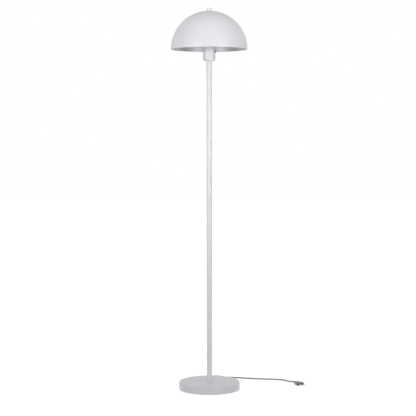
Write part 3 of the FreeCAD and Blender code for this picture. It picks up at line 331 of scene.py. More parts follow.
def ringed_taper(start, end, root, tip, grooves, width, depth):
    """(x, r) of a taper with round-bottomed rings: r = taper - depth sqrt(1 - (2 d / width)^2) near each."""
    x = np.linspace(start, end, 200)
    step = (end - start) / (grooves + 0.5)
    middles = start + step * (np.arange(grooves) + 0.75)
    near = np.abs(x[:, None] - middles).min(1)
    cut = depth * np.sqrt(np.clip(1 - (2 * near / width) ** 2, 0, 1))
    return np.column_stack((x, root + (tip - root) * (x - start) / (end - start) - cut))


# ---- shader maths ----
class Wire:
    """A node's output. Sums, differences, products and powers of wires and numbers add Math nodes."""

    def __init__(self, tree, socket):
        self.tree = tree
        self.socket = socket

    def maths(self, kind, *values):
        """A Math node of that kind on wires and numbers."""
        return self.tree.node("ShaderNodeMath", {"operation": kind}, dict(enumerate(values)))

    def __add__(self, other):
        return self.maths("ADD", self, other)

    def __sub__(self, other):
        return self.maths("SUBTRACT", self, other)

    def __rsub__(self, other):
        return self.maths("SUBTRACT", other, self)

    def __mul__(self, other):
        return self.maths("MULTIPLY", self, other)

    def __pow__(self, other):
        return self.maths("POWER", self, other)

    def sine(self):
        return self.maths("SINE", self)

    def limited(self, low, high):
        """0 below low, 1 above high, and smooth between."""
        settings = {"interpolation_type": "SMOOTHSTEP"}
        return self.tree.node("ShaderNodeMapRange", settings, {"Value": self, "From Min": low, "From Max": high})

    __radd__ = __add__
    __rmul__ = __mul__


class Tree:
    """The nodes of a material or of the surround."""

    def __init__(self, owner):
        owner.use_nodes = True
        self.nodes, self.links = owner.node_tree.nodes, owner.node_tree.links

    def node(self, kind, settings, inputs, output=0):
        """Add a node, set its own settings first, then its sockets' values or links."""
        made = self.nodes.new(kind)
        for label, value in settings.items():
            setattr(made, label, value)
        for label, value in inputs.items():
            if isinstance(value, Wire):
                self.links.new(value.socket, made.inputs[label])
            else:
                made.inputs[label].default_value = value
        return Wire(self, made.outputs[output])


class Finish(Tree):
    """A material with one Principled shader, whose patterns follow the piece's own coordinates."""

    def __init__(self, name, **constants):
        self.material = bpy.data.materials.new(name)
        super().__init__(self.material)
        self.shader = next(n for n in self.nodes if n.type == "BSDF_PRINCIPLED")
        for label, value in constants.items():
            self.shader.inputs[label.replace("_", " ").title().replace("Ior", "IOR")].default_value = value
        self.place = self.node("ShaderNodeTexCoord", {}, {}, "Object")

    def scaled(self, x, y, z):
        """The place, stretched along each axis."""
        return self.node("ShaderNodeMapping", {}, {"Vector": self.place, "Scale": (x, y, z)})

    def noise(self, scale, detail=2.0, place=None, rough=0.5):
        """Smooth noise, about so many patches a metre."""
        inputs = {"Vector": place or self.place, "Scale": scale, "Detail": detail, "Roughness": rough}
        return self.node("ShaderNodeTexNoise", {}, inputs)

    def cells(self, scale):
        """Distance to the nearest cell's middle, about so many cells a metre."""
        return self.node("ShaderNodeTexVoronoi", {}, {"Vector": self.place, "Scale": scale})

    def axis(self, name):
        """One coordinate of the place."""
        return self.node("ShaderNodeSeparateXYZ", {}, {0: self.place}, name)

    def mix(self, factor, first, second):
        """Colour first at 0, second at 1."""
        settings = {"data_type": "RGBA"}
        return self.node("ShaderNodeMix", settings, {0: factor, 6: rgba(first), 7: rgba(second)}, 2)

    def feed(self, label, wire):
        """Link a wire to one of the shader's sockets."""
        self.links.new(wire.socket, self.shader.inputs[label])

    def bump(self, height, metres):
        """Tilt the surface by a height between 0 and 1, of so many metres."""
        self.feed("Normal", self.node("ShaderNodeBump", {}, {"Height": height, "Distance": metres, "Strength": 1.0}))


def rgba(value):
    """A colour for a socket: a wire as it is, or three numbers with full alpha."""
    return value if isinstance(value, Wire) else (*value, 1.0)


def shade_of(tone, amount):
    """The same colour, lighter or darker."""
    return tuple(min(1.0, max(0.0, c * amount)) for c in tone)


# ---- finishes ----
def powder_coat(tone):
    """Satin powder coat: fine orange peel, slow drift of tone and a little dust in the gloss."""
    f = Finish("powder_coat", metallic=0.0, ior=1.5, specular_ior_level=0.45, coat_roughness=0.16)
    peel = f.noise(1500.0, 2.0) * 0.6 + f.noise(520.0, 1.0) * 0.4
    drift = f.noise(9.0, 3.0).limited(0.35, 0.65)
    speck = f.noise(2600.0, 0.0).limited(0.70, 0.78)
    pale = f.mix(drift, shade_of(tone, 0.985), shade_of(tone, 1.012))
    f.feed("Base Color", f.mix(speck * 0.10, pale, shade_of(tone, 0.86)))
    f.feed("Roughness", 0.34 + f.noise(60.0, 4.0) * 0.06 + peel * 0.04)
    f.feed("Coat Weight", 0.25 + drift * 0.1)
    f.bump(peel, 0.000014)
    return f.material


def cast_iron(tone):
    """Sand cast iron under a thin black wash, with rust in a few low spots."""
    f = Finish("cast_iron", ior=1.5)
    sand = f.noise(900.0, 6.0, rough=0.7)
    low = f.noise(45.0, 5.0).limited(0.56, 0.70) * sand.limited(0.42, 0.60)
    f.feed("Base Color", f.mix(low, shade_of(tone, 1.0), (0.13, 0.055, 0.028)))
    f.feed("Roughness", 0.62 + sand * 0.25)
    f.feed("Metallic", 0.55 - low * 0.5)
    f.bump(sand + f.noise(160.0, 3.0) * 0.8, 0.0004)
    return f.material


def plated(name, tone, dull, grain):
    """Plated or drawn metal: fine lines along Z, soft stains and a few scuffs."""
    f = Finish(name, metallic=1.0)
    lines = f.noise(grain, 3.0, f.scaled(1.0, 1.0, 0.04))
    stain = f.noise(70.0, 4.0).limited(0.40, 0.70)
    scuff = f.noise(900.0, 2.0, f.scaled(0.15, 1.0, 1.0)).limited(0.66, 0.74)
    f.feed("Base Color", f.mix(stain, tone, shade_of(tone, 0.84)))
    f.feed("Roughness", dull + lines * 0.12 + stain * 0.08 + scuff * 0.15)
    f.bump(lines, 0.00002)
    return f.material


def closed_cell_foam(tone):
    """Foam ring: small closed cells, paler where the floor has worn them."""
    f = Finish("closed_cell_foam", ior=1.45)
    skin = f.cells(1700.0)
    worn = f.noise(30.0, 4.0).limited(0.5, 0.7)
    f.feed("Base Color", f.mix(worn, tone, shade_of(tone, 2.1)))
    f.feed("Roughness", 0.86 - skin * 0.1)
    f.bump(skin, 0.0002)
    return f.material


def soft_vinyl(tone):
    """Matt vinyl of the lead and the plug: mould grain, finger marks and dust in places."""
    f = Finish("soft_vinyl", ior=1.5, specular_ior_level=0.45)
    grain = f.noise(2100.0, 2.0)
    dust = f.noise(38.0, 5.0).limited(0.48, 0.72)
    f.feed("Base Color", f.mix(dust * 0.35, tone, shade_of(tone, 1.35)))
    f.feed("Roughness", 0.42 + grain * 0.10 + dust * 0.12)
    f.bump(grain, 0.00003)
    return f.material


def moulded(name, tone, gloss):
    """Injection moulding: faint flow marks under a fine spark-eroded grain."""
    f = Finish(name, ior=1.49)
    sparks = f.noise(1200.0, 2.0)
    flow = f.noise(60.0, 2.0, f.scaled(1.0, 1.0, 0.3))
    f.feed("Base Color", f.mix(flow, shade_of(tone, 0.94), shade_of(tone, 1.06)))
    f.feed("Roughness", gloss + sparks * 0.10 + flow * 0.05)
    f.bump(sparks, 0.00003)
    return f.material


def opal_glass(tone):
    """Opal envelope: milky white, with a clear glossy skin and slow thickness bands."""
    f = Finish("opal_glass", ior=1.5, coat_roughness=0.04)
    band = f.noise(26.0, 2.0, f.scaled(0.6, 0.6, 2.2))
    f.feed("Base Color", f.mix(band, shade_of(tone, 0.97), tone))
    f.feed("Roughness", 0.20 + band * 0.05)
    f.feed("Coat Weight", 0.6 + band * 0.1)
    f.bump(band, 0.00005)
    return f.material


def turned_metal(name, tone, dull):
    """Lathe-turned face: rings about Z a fifth of a millimetre apart, over a plated tone."""
    f = Finish(name, metallic=1.0)
    x, y, pitch = f.axis("X"), f.axis("Y"), 0.0002
    rings = ((x * x + y * y) ** 0.5 * (TURN / pitch)).sine() * 0.5 + 0.5
    stain = f.noise(90.0, 3.0).limited(0.35, 0.7)
    f.feed("Base Color", f.mix(stain, tone, shade_of(tone, 0.88)))
    f.feed("Roughness", dull + rings * 0.06 + stain * 0.06)
    f.bump(rings, 0.000004)
    return f.material


def woven_strap(tone):
    """Hook and loop strap: a tight plain weave with fuzz."""
    f = Finish("woven_strap", ior=1.45, sheen_weight=0.3)
    threads = 9000.0  # radians a metre: 0.7 mm a thread
    weave = (f.axis("X") * threads).sine() * (f.axis("Z") * threads).sine() * 0.5 + 0.5
    fuzz = f.noise(3000.0, 4.0)
    f.feed("Base Color", f.mix(weave, shade_of(tone, 0.7), shade_of(tone, 1.8)))
    f.feed("Roughness", 0.85 + fuzz * 0.1)
    f.bump(weave * 0.7 + fuzz * 0.3, 0.0002)
    return f.material


FINISHES = {}  # one material by the name of its slot


def mix_finishes(tones):
    """One material for each of the record's slots."""
    FINISHES.update(
        white_paint=powder_coat(tones.paint),
        cast_iron=cast_iron(tones.iron),
        zinc_steel=plated("zinc_plate", tones.steel, 0.30, 700.0),
        foam=closed_cell_foam(tones.foam),
        grey_pvc=soft_vinyl(tones.lead),
        white_nylon=moulded("nylon", tones.nylon, 0.45),
        brass=turned_metal("brass", tones.brass, 0.24),
        black_plastic=moulded("black_plastic", tones.black, 0.22),
        white_plastic=moulded("white_plastic", tones.paint, 0.35),
        spring_steel=plated("spring_wire", shade_of(tones.steel, 0.8), 0.25, 1500.0),
        opal_glass=opal_glass(tones.glass),
        nickel=turned_metal("nickel", shade_of(tones.steel, 1.15), 0.16),
        black_strap=woven_strap(tones.black),
    )


# ---- operators ----
def sizes():
    """The lamp's sizes, as the panel holds them."""
    return bpy.context.scene.lamp_sizes


def lead_sizes():
    """The lead's sizes, as the panel holds them."""
    return bpy.context.scene.lead_sizes


# The lead's middle line from the coil to the plug, and where the strap sits on the coil.
ALONG_FLOOR = [
    (0.057, 0.20799, 0.00365), (0.094, 0.2135, 0.00275), (0.148, 0.196, 0.00275),
    (0.205, 0.1815, 0.00275), (0.262, 0.1735, 0.00275), (0.298, 0.1645, 0.00275),
    (0.315, 0.145, 0.00275), (0.327, 0.128, 0.00275), (0.3345, 0.1145, 0.0069),
    (0.3399, 0.1048, 0.0069),
]
STRAP_ANGLE = math.radians(315)


def coil_place(s):
    """The coil's middle, its whole sweep and its first angle, seen clockwise from above."""
    slope = math.atan(s.coil_pitch / (TURN * s.coil_radius))
    first = math.radians(165) + slope
    sweep = first - math.radians(90) + slope + TURN * s.coil_turns
    return np.array((0.024, 0.1665, 0.0)), sweep, first


def plug_place():
    """Where the lead ends, and its heading there."""
    end, before = np.array(ALONG_FLOOR[-1]), np.array(ALONG_FLOOR[-2])
    return end, end - before


class LAMP_OT_finishes(bpy.types.Operator):
    """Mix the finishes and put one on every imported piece"""

    bl_idname = "lamp.finishes"
    bl_label = "Finishes"

    def execute(self, context):
        mix_finishes(context.scene.paint_colours)
        slots = {part["node"]: part["material_slot"] for part in frame["record"]["subparts"]}
        for node, piece in frame["nodes"].items():
            for place in piece.material_slots:
                place.material = FINISHES[slots[node]]
        return {"FINISHED"}


class LAMP_OT_base(bpy.types.Operator):
    """Turn the base's cover, with its notch for the lead"""

    bl_idname = "lamp.base"
    bl_label = "Base Cover"

    def execute(self, context):
        s, lead = sizes(), lead_sizes()
        low, high = (np.array(corner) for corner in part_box("base_cover"))
        outer, inner = high[0], high[0] - s.cover_wall
        top, under = high[2], high[2] - s.cover_wall
        corner = s.cover_corner
        profile = rounded_outline([
            (s.cover_hole, under, 0), (inner, under, corner - s.cover_wall), (inner, low[2], 0.0003),
            (outer, low[2], 0.0003), (outer, top, corner), (s.cover_hole, top, 0.0003),
        ], 10)
        across = s.notch / outer
        near = lead.angle + np.linspace(-across, across, 33)
        edges = lead.angle + np.array((-1.0001, 1.0001)) * across
        clear = even_angles(256)
        clear = clear[np.abs((clear - lead.angle + math.pi) % TURN - math.pi) > 1.02 * across]
        angles = np.sort(np.concatenate((clear, near, edges)))
        points = turned_points(profile, angles)
        # In the notch the wall's lower edge rises to lead height + sqrt(notch^2 - distance^2).
        away = np.abs(angles - lead.angle) * outer
        arch = lead.height + np.sqrt(np.maximum(s.notch ** 2 - away ** 2, 0))
        in_notch = (away <= s.notch * 1.00001)[None, :] & (profile[:, :1] > inner - 1e-6)
        points[..., 2] = np.where(in_notch, np.maximum(points[..., 2], arch), points[..., 2])
        piece = ringed_piece("base_cover_coated", points, "white_paint")
        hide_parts("base_cover")
        return {"FINISHED"}


class LAMP_OT_pole(bpy.types.Operator):
    """Draw the three tubes of the pole"""

    bl_idname = "lamp.pole"
    bl_label = "Pole"

    def execute(self, context):
        s = sizes()
        for node in ("pole_lower", "pole_middle", "pole_upper"):
            low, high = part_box(node)
            outer, inner = high[0], high[0] - s.pole_wall
            ends = s.pole_chamfer
            profile = np.array([
                (inner, low[2]), (outer - ends, low[2]), (outer, low[2] + ends), (outer, low[2] + 3 * ends),
                (outer, high[2] - 3 * ends), (outer, high[2] - ends), (outer - ends, high[2]), (inner, high[2]),
            ])
            piece = turned_piece(node + "_coated", profile, 96, "white_paint")
            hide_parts(node)
        return {"FINISHED"}


class LAMP_OT_shade(bpy.types.Operator):
    """Spin the dome and roll its edge"""

    bl_idname = "lamp.shade"
    bl_label = "Shade"

    def execute(self, context):
        """The profile is two arcs about the dome's centre, joined by the flat and by the rolled edge."""
        s = sizes()
        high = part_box("shade")[1]
        outer = high[0] - s.hem_proud
        inner = outer - s.shade_wall
        middle = high[2] - math.sqrt(outer ** 2 - s.shade_flat ** 2)
        hem = np.array((high[0] - s.hem_radius, middle + s.hem_radius))

        def meets(radius):
            """Angle seen from the dome's centre where a circle of that radius meets the hem."""
            far = math.hypot(hem[0], s.hem_radius)
            opening = math.acos((radius ** 2 + far ** 2 - s.hem_radius ** 2) / (2 * radius * far))
            return math.atan2(s.hem_radius, hem[0]) + opening

        def from_hem(radius):
            """The same place, as an angle seen from the hem's middle."""
            a = meets(radius)
            return math.atan2(middle + radius * math.sin(a) - hem[1], radius * math.cos(a) - hem[0])

        centre = (0.0, middle)
        under = high[2] - s.shade_wall
        flat_inside = math.atan2(under - middle, math.sqrt(inner ** 2 - (under - middle) ** 2))
        flat_outside = math.acos(s.shade_flat / outer)
        outside = arc_points(centre, outer, flat_outside, meets(outer), 120)
        roll = arc_points(hem, s.hem_radius, from_hem(outer), from_hem(inner) - TURN, 22)
        inside = arc_points(centre, inner, meets(inner), flat_inside, 120)
        profile = np.vstack((outside, roll[1:-1], inside, [(s.shade_hole, under)], [(s.shade_hole, high[2])]))
        piece = turned_piece("shade_coated", profile, 256, "white_paint")
        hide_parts("shade")
        return {"FINISHED"}


class LAMP_OT_knob(bpy.types.Operator):
    """Turn the knob that holds the dome down"""

    bl_idname = "lamp.knob"
    bl_label = "Knob"

    def execute(self, context):
        s = sizes()
        low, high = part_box("knob")
        radius = high[0]
        insert_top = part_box("knob_insert")[1][2]
        profile = rounded_outline([
            (1e-5, insert_top, 0), (s.knob_bore, insert_top, 0), (s.knob_bore, low[2], 0),
            (radius, low[2], 0.0005), (radius, high[2], s.knob_edge), (1e-5, high[2], 0),
        ], 8)
        piece = turned_piece("knob_coated", profile, 128, "white_paint", "knob")
        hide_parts("knob")
        return {"FINISHED"}


class LAMP_OT_bracket(bpy.types.Operator):
    """Bend the strap that rises round the bulb and carries the dome"""

    bl_idname = "lamp.bracket"
    bl_label = "Shade Bracket"

    def execute(self, context):
        """A rounded strip carried along a closed loop of straight runs and bends in the YZ plane."""
        s = sizes()
        low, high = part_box("harp")
        cup_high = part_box("socket_cup")[1]
        half, width = s.bracket_thickness / 2, high[0] - low[0]
        arm = math.sqrt((cup_high[0] - s.cup_wall - s.arm_gap) ** 2 - (width / 2) ** 2) - half
        reach, mouth = high[1] - half, cup_high[2]
        side = [
            (arm, low[2] + half, 0.0032), (arm, mouth + 0.0032, 0.014), (reach, mouth + s.bracket_shoulder, 0.014),
            (reach, high[2] - s.bracket_crown, 0.008), (s.bracket_bridge, high[2] - half, 0.010),
        ]
        mirrored = [(-y, z, radius) for y, z, radius in reversed(side)]
        outline = rounded_outline(side + mirrored, 9)
        path = np.column_stack((np.zeros(len(outline)), outline))
        strip = rounded_box(half, width / 2, 0.0005, 4)
        piece = ringed_piece("bracket_coated", carried(path, (1.0, 0.0, 0.0), strip), "white_paint")
        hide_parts("harp")
        return {"FINISHED"}


class LAMP_OT_button(bpy.types.Operator):
    """Turn the push button with its ringed face"""

    bl_idname = "lamp.button"
    bl_label = "Push Button"

    def execute(self, context):
        """An (x, r) profile turned about the button's own X axis."""
        s = sizes()
        low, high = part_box("switch_button")
        middle = (low[2] + high[2]) / 2
        collar = (high[2] - low[2]) / 2
        stem, step, thick, holder_wall, play = 0.0012, 0.0012, 0.002, 0.0034, 0.0003
        radius = collar - step
        stem_end, face = low[0], high[0]
        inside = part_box("lampholder_base")[1][0] - holder_wall
        collar_out = math.sqrt(inside ** 2 - collar ** 2) - play
        collar_in = collar_out - thick
        outline = rounded_outline([
            (stem_end, 1e-6, 0), (stem_end, stem, 0.0003), (collar_in, stem, 0), (collar_in, collar, 0.0003),
            (collar_out, collar, 0.0003), (collar_out, radius, 0), (face, radius, s.button_edge),
            (face, 0.0026, 0.0002), (face - 0.00025, 0.0024, 0.0002), (face - 0.00025, 0.0021, 0.0002),
            (face, 0.0019, 0.0002), (face, 1e-6, 0),
        ], 6)
        points = along_axis(turned_along(outline, 64), (0.0, 0.0, middle), (1.0, 0.0, 0.0))
        piece = ringed_piece("button_moulded", points, "black_plastic", "switch_button")
        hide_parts("switch_button")
        return {"FINISHED"}


class LAMP_OT_spring(bpy.types.Operator):
    """Coil the spring behind the push button. How far it would shorten as the button goes in is worked out but not
    applied
    """

    bl_idname = "lamp.spring"
    bl_label = "Switch Spring"

    def execute(self, context):
        """Middle line (x0 + length t, R cos(n t), R sin(n t)), with a round wire square to it."""
        s = sizes()
        low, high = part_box("switch_spring")
        wire = s.spring_wire / 2
        start, end, middle = low[0] + wire, high[0] - wire, (low[2] + high[2]) / 2
        radius = (high[2] - low[2]) / 2 - wire
        turn = TURN * s.spring_turns * np.linspace(0, 1, 48 * s.spring_turns)
        out = np.column_stack((0 * turn, np.cos(turn), np.sin(turn)))
        slope = (end - start) / (turn[-1] * radius)
        ahead = np.column_stack((0 * turn + slope, -np.sin(turn), np.cos(turn))) / math.hypot(1, slope)
        path = radius * out + np.column_stack((np.linspace(start, end, len(turn)), 0 * turn, 0 * turn + middle))
        a = even_angles(12)[None, :, None]
        points = path[:, None] + wire * (np.cos(a) * out[:, None] + np.sin(a) * np.cross(ahead, out)[:, None])
        piece = make_mesh("spring_coiled", *end_caps(points), "spring_steel")
        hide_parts("switch_spring")
        travel = next(j["range_m"][1] for j in frame["record"]["behaviour"]["joints"] if j["name"] == "switch_press")
        keep = 1 - travel / (high[0] - low[0])
        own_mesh(piece)
        return {"FINISHED"}


class LAMP_OT_bulb_cap(bpy.types.Operator):
    """Roll the thread into the bulb's cap"""

    bl_idname = "lamp.bulb_cap"
    bl_label = "Bulb Cap"

    def execute(self, context):
        """Outer radius R - depth (1 - cos(2 pi z / pitch - a)) / 2, eased to R at both ends."""
        s = sizes()
        low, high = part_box("bulb_cap")
        outer = high[0]
        sheet, foot, plain, run_in, run_out = 0.0006, 0.0085, 0.002, 0.002, 0.0035
        inner = outer - sheet
        angles = even_angles(120)
        z = np.linspace(low[2] + plain, high[2], 110)[:, None]
        ends = np.clip((z - z[0]) / run_in, 0, 1) * np.clip((z[-1] - z) / run_out, 0, 1)
        wave = (1 - np.cos(TURN * (z - z[0]) / s.thread_pitch - angles)) / 2
        r = outer - s.thread_depth * wave * ends
        thread = np.stack((r * np.cos(angles), r * np.sin(angles), z + 0 * angles), axis=-1)
        inside = turned_points(np.array([
            (inner, high[2]), (inner, high[2] - 0.001), (inner - s.thread_depth, high[2] - 0.003),
            (inner - s.thread_depth, low[2] + 0.0035), (foot, low[2] + 0.001), (foot, low[2]),
            (outer - 0.001, low[2]),
        ]), angles)
        piece = ringed_piece("bulb_cap_rolled", np.concatenate((thread, inside)), "nickel", "bulb")
        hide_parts("bulb_cap")
        return {"FINISHED"}


class LAMP_OT_strain_relief(bpy.types.Operator):
    """Mould the ringed strain relief in the cover's notch"""

    bl_idname = "lamp.strain_relief"
    bl_label = "Strain Relief"

    def execute(self, context):
        """An (x, r) profile turned about the lead's axis."""
        s = lead_sizes()
        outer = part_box("base_cover")[1][0]
        inner = outer - sizes().cover_wall - 0.00011
        bore = s.diameter / 2 + 0.00005
        flange = s.relief_neck + 0.0011
        tip = outer + s.relief_out
        taper = ringed_taper(outer + 0.002, tip, s.relief_root, s.relief_tip, 4, s.groove_width, s.groove_depth)
        profile = np.vstack((
            [(inner - 0.0015, bore), (inner - 0.0015, flange), (inner, flange), (inner, s.relief_neck)],
            [(outer, s.relief_neck), (outer, s.relief_root - 0.0002), (outer + 0.0002, s.relief_root)],
            taper[:-1], [(tip - 0.0003, s.relief_tip), (tip, s.relief_tip - 0.0003), (tip, bore)],
        ))
        heading = (math.cos(s.angle), math.sin(s.angle), 0.0)
        points = along_axis(turned_along(profile, 72), (0.0, 0.0, s.height), heading)
        piece = ringed_piece("strain_relief_moulded", points, "grey_pvc")
        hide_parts("cord_bushing")
        return {"FINISHED"}


class LAMP_OT_strap(bpy.types.Operator):
    """Wrap the hook and loop strap round the coil"""

    bl_idname = "lamp.strap"
    bl_label = "Coil Strap"

    def execute(self, context):
        """The strap goes once round the bundle and laps over itself along the top and the outside.

        A point at length q lies on the outline at q, pushed out by half a layer, and by one and a
        half layers where it laps.
        """
        s = lead_sizes()
        centre, sweep = coil_place(s)[:2]
        layer, spare = s.strap_thickness, 0.0001
        inner = s.coil_radius - s.coil_pitch * sweep / 2 / TURN - s.diameter / 2 - spare
        outer = s.coil_radius + s.diameter / 2 + spare
        low = s.coil_floor - s.diameter / 2 - spare
        high = s.coil_floor + s.coil_pitch + s.diameter / 2 + spare
        corner, lap, run_up = 0.0012, 0.42, 0.003
        outline = rounded_outline([
            (outer, low, corner), (outer, high, corner), (inner, high, corner), (inner, low, corner),
        ], 9)
        outline = np.roll(outline, -4, 0)
        loop = np.vstack((outline, outline[:1]))
        steps = np.linalg.norm(np.diff(loop, axis=0), axis=1)
        lengths = np.concatenate(([0], np.cumsum(steps)))
        q = np.linspace(0, lengths[-1] * (1 + lap), 400)
        place = np.column_stack([np.interp(q % lengths[-1], lengths, loop[:, i]) for i in (0, 1)])
        tangent = np.gradient(place, axis=0)
        tangent /= np.linalg.norm(tangent, axis=1)[:, None]
        push = layer * (0.5 + np.clip((q - lengths[-1] + run_up) / run_up, 0, 1))
        place += np.column_stack((tangent[:, 1], -tangent[:, 0])) * push[:, None]
        out = np.array((math.cos(STRAP_ANGLE), math.sin(STRAP_ANGLE), 0.0))
        path = centre + place[:, :1] * out + place[:, 1:] * np.array((0.0, 0.0, 1.0))
        half = layer * 0.48
        strip = rounded_box(half, s.strap_width / 2, half * 0.9, 3)
        points = carried(path, np.cross((0.0, 0.0, 1.0), out), strip, closed=False)
        piece = make_mesh("coil_strap", *end_caps(points), "black_strap")
        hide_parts("cord_tie")
        return {"FINISHED"}


class LAMP_OT_plug(bpy.types.Operator):
    """Mould the flat two-pin plug on its ringed tail"""

    bl_idname = "lamp.plug"
    bl_label = "Plug"

    def execute(self, context):
        """Sections y = w cos a, z = h sin a with rounded-square powers, along the lead's last heading."""
        s = lead_sizes()
        end, heading = plug_place()
        start, neck, neck_w, neck_h, edge = 0.0035, 0.005, 0.007, 0.0055, 0.001
        face = s.plug_tail + s.plug_body
        tail = ringed_taper(0.0, s.plug_tail, start, neck, 4, s.groove_width, s.groove_depth)
        x = np.concatenate((tail[:-1, 0], np.linspace(s.plug_tail, face - edge, 120)))
        along = np.clip((x - s.plug_tail) / s.plug_body, 0, 1)
        swell = np.clip(along / 0.75, 0, 1)
        swell = swell * swell * (3 - 2 * swell)
        grown = np.clip((x - s.plug_tail) / 0.0012, 0, 1) ** 0.5
        tail_r = np.interp(x, tail[:, 0], tail[:, 1])
        w = tail_r + grown * (neck_w - neck + (s.plug_width / 2 - neck_w) * swell)
        h = tail_r + grown * (neck_h - neck + (s.plug_thickness / 2 - neck_h) * np.clip(along / 0.4, 0, 1) ** 0.7)
        bend = np.linspace(0, math.pi / 2, 7)[1:]
        x = np.concatenate((x, x[-1] + edge * np.sin(bend)))
        w, h = (np.concatenate((r, r[-1] - edge * (1 - np.cos(bend)))) for r in (w, h))
        along = np.clip((x - s.plug_tail) / s.plug_body, 0, 1)
        power = np.interp(along, (0, 0.15, 1), (1.0, 0.8, 0.62))[:, None]
        a = even_angles(96)
        c, t = np.cos(a), np.sin(a)
        y = w[:, None] * np.sign(c) * np.abs(c) ** power
        z = h[:, None] * np.sign(t) * np.abs(t) ** power
        # Grip ribs on both flat sides: hollows of a third of a millimetre, 2.4 mm apart.
        first, last, rib = 0.027, 0.0425, 0.0024
        grip = np.clip(np.minimum(x - first, last - x) / 0.0008, 0, 1)[:, None]
        middle = np.clip((0.72 - np.abs(y) / w[:, None]) / 0.1, 0, 1)
        z *= 1 - 0.05 * grip * middle * (0.5 - 0.5 * np.cos(TURN * (x[:, None] - first) / rib))
        grid = np.stack((x[:, None] + 0 * y, y, z), axis=-1)
        body = make_mesh("plug_moulded", *end_caps(along_axis(grid, end, heading)), "grey_pvc", crease=50.0)
        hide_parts("plug_body")
        self.pins(s, end, heading, face)
        return {"FINISHED"}

    def pins(self, s, end, heading, face):
        """Two turned pins, waisted under their sleeves, and the two sleeves."""
        r, waist = s.pin_radius, s.pin_radius - 0.00015
        pin = rounded_outline([
            (face - 0.01, 1e-6, 0), (face - 0.01, 0.0015, 0), (face, 0.0015, 0), (face, waist, 0),
            (face + s.sleeve_length, waist, 0), (face + s.sleeve_length, r, 0.0001),
            (face + s.pin_length, r, 0.0014), (face + s.pin_length, 1e-6, 0),
        ], 8)
        sleeve = np.array([
            (face, waist), (face, r), (face + s.sleeve_length - 0.0002, r),
            (face + s.sleeve_length - 0.0001, r - 0.00005), (face + s.sleeve_length - 0.0001, waist),
        ])
        for name, profile, slot, node in (
            ("plug_pins_turned", pin, "nickel", "plug_pins"), ("pin_sleeves", sleeve, "black_plastic", None),
        ):
            grid = turned_along(profile, 48)
            both = np.stack([along_axis(grid + (0, side * s.pin_spacing / 2, 0), end, heading) for side in (-1, 1)])
            faces = [ring_faces(len(profile), 48, start=start) for start in (0, 48 * len(profile))]
            piece = make_mesh(name, both, faces, slot)
            if node:
                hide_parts(node)


class LAMP_OT_lead(bpy.types.Operator):
    """Lay the mains lead: out of the base, round the put-away coil and along the floor"""

    bl_idname = "lamp.lead"
    bl_label = "Mains Lead"

    def execute(self, context):
        """The coil's radius falls by one pitch a turn to its middle and grows again to its end."""
        s = lead_sizes()
        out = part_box("base_cover")[1][0] + s.relief_out
        exit_point = (out * math.cos(s.angle), out * math.sin(s.angle), s.height)
        into_coil = [exit_point, (-0.02073, 0.14755, 0.006), (-0.02086, 0.1594, 0.00975)]
        centre, sweep, first = coil_place(s)
        t = np.linspace(0, sweep, int(16 * sweep / TURN) + 1)
        away = t - sweep / 2
        quarter = math.pi / 2
        grown = np.where(np.abs(away) < quarter, away ** 2 / math.pi + quarter / 2, np.abs(away))
        ease = np.clip((away + quarter) / math.pi, 0, 1)
        # The control points stand off by 1 / cos(half a step), so that the line itself keeps the radius.
        radius = (s.coil_radius + s.coil_pitch * (grown - sweep / 2) / TURN) / math.cos((t[1] - t[0]) / 2)
        height = s.coil_floor + s.coil_pitch * (1 - ease ** 2 * (3 - 2 * ease))
        coil = centre + np.column_stack((radius * np.cos(first - t), radius * np.sin(first - t), height))
        route = np.vstack((into_coil, coil, ALONG_FLOOR))
        curve = bpy.data.curves.new("mains_lead", "CURVE")
        curve.dimensions = "3D"
        curve.resolution_u = 8
        curve.bevel_depth = s.diameter / 2
        curve.bevel_resolution = 6
        curve.use_fill_caps = True
        spline = curve.splines.new("NURBS")
        spline.points.add(len(route) - 1)
        spline.points.foreach_set("co", np.column_stack((route, np.ones(len(route)))).ravel())
        spline.order_u = 3
        spline.use_endpoint_u = True
        curve.materials.append(FINISHES["grey_pvc"])
        piece = bpy.data.objects.new("mains_lead", curve)
        bpy.context.scene.collection.objects.link(piece)
        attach(piece, "lamp")
        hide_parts("cord_lead", "cord_coil", "cord_run")
        return {"FINISHED"}


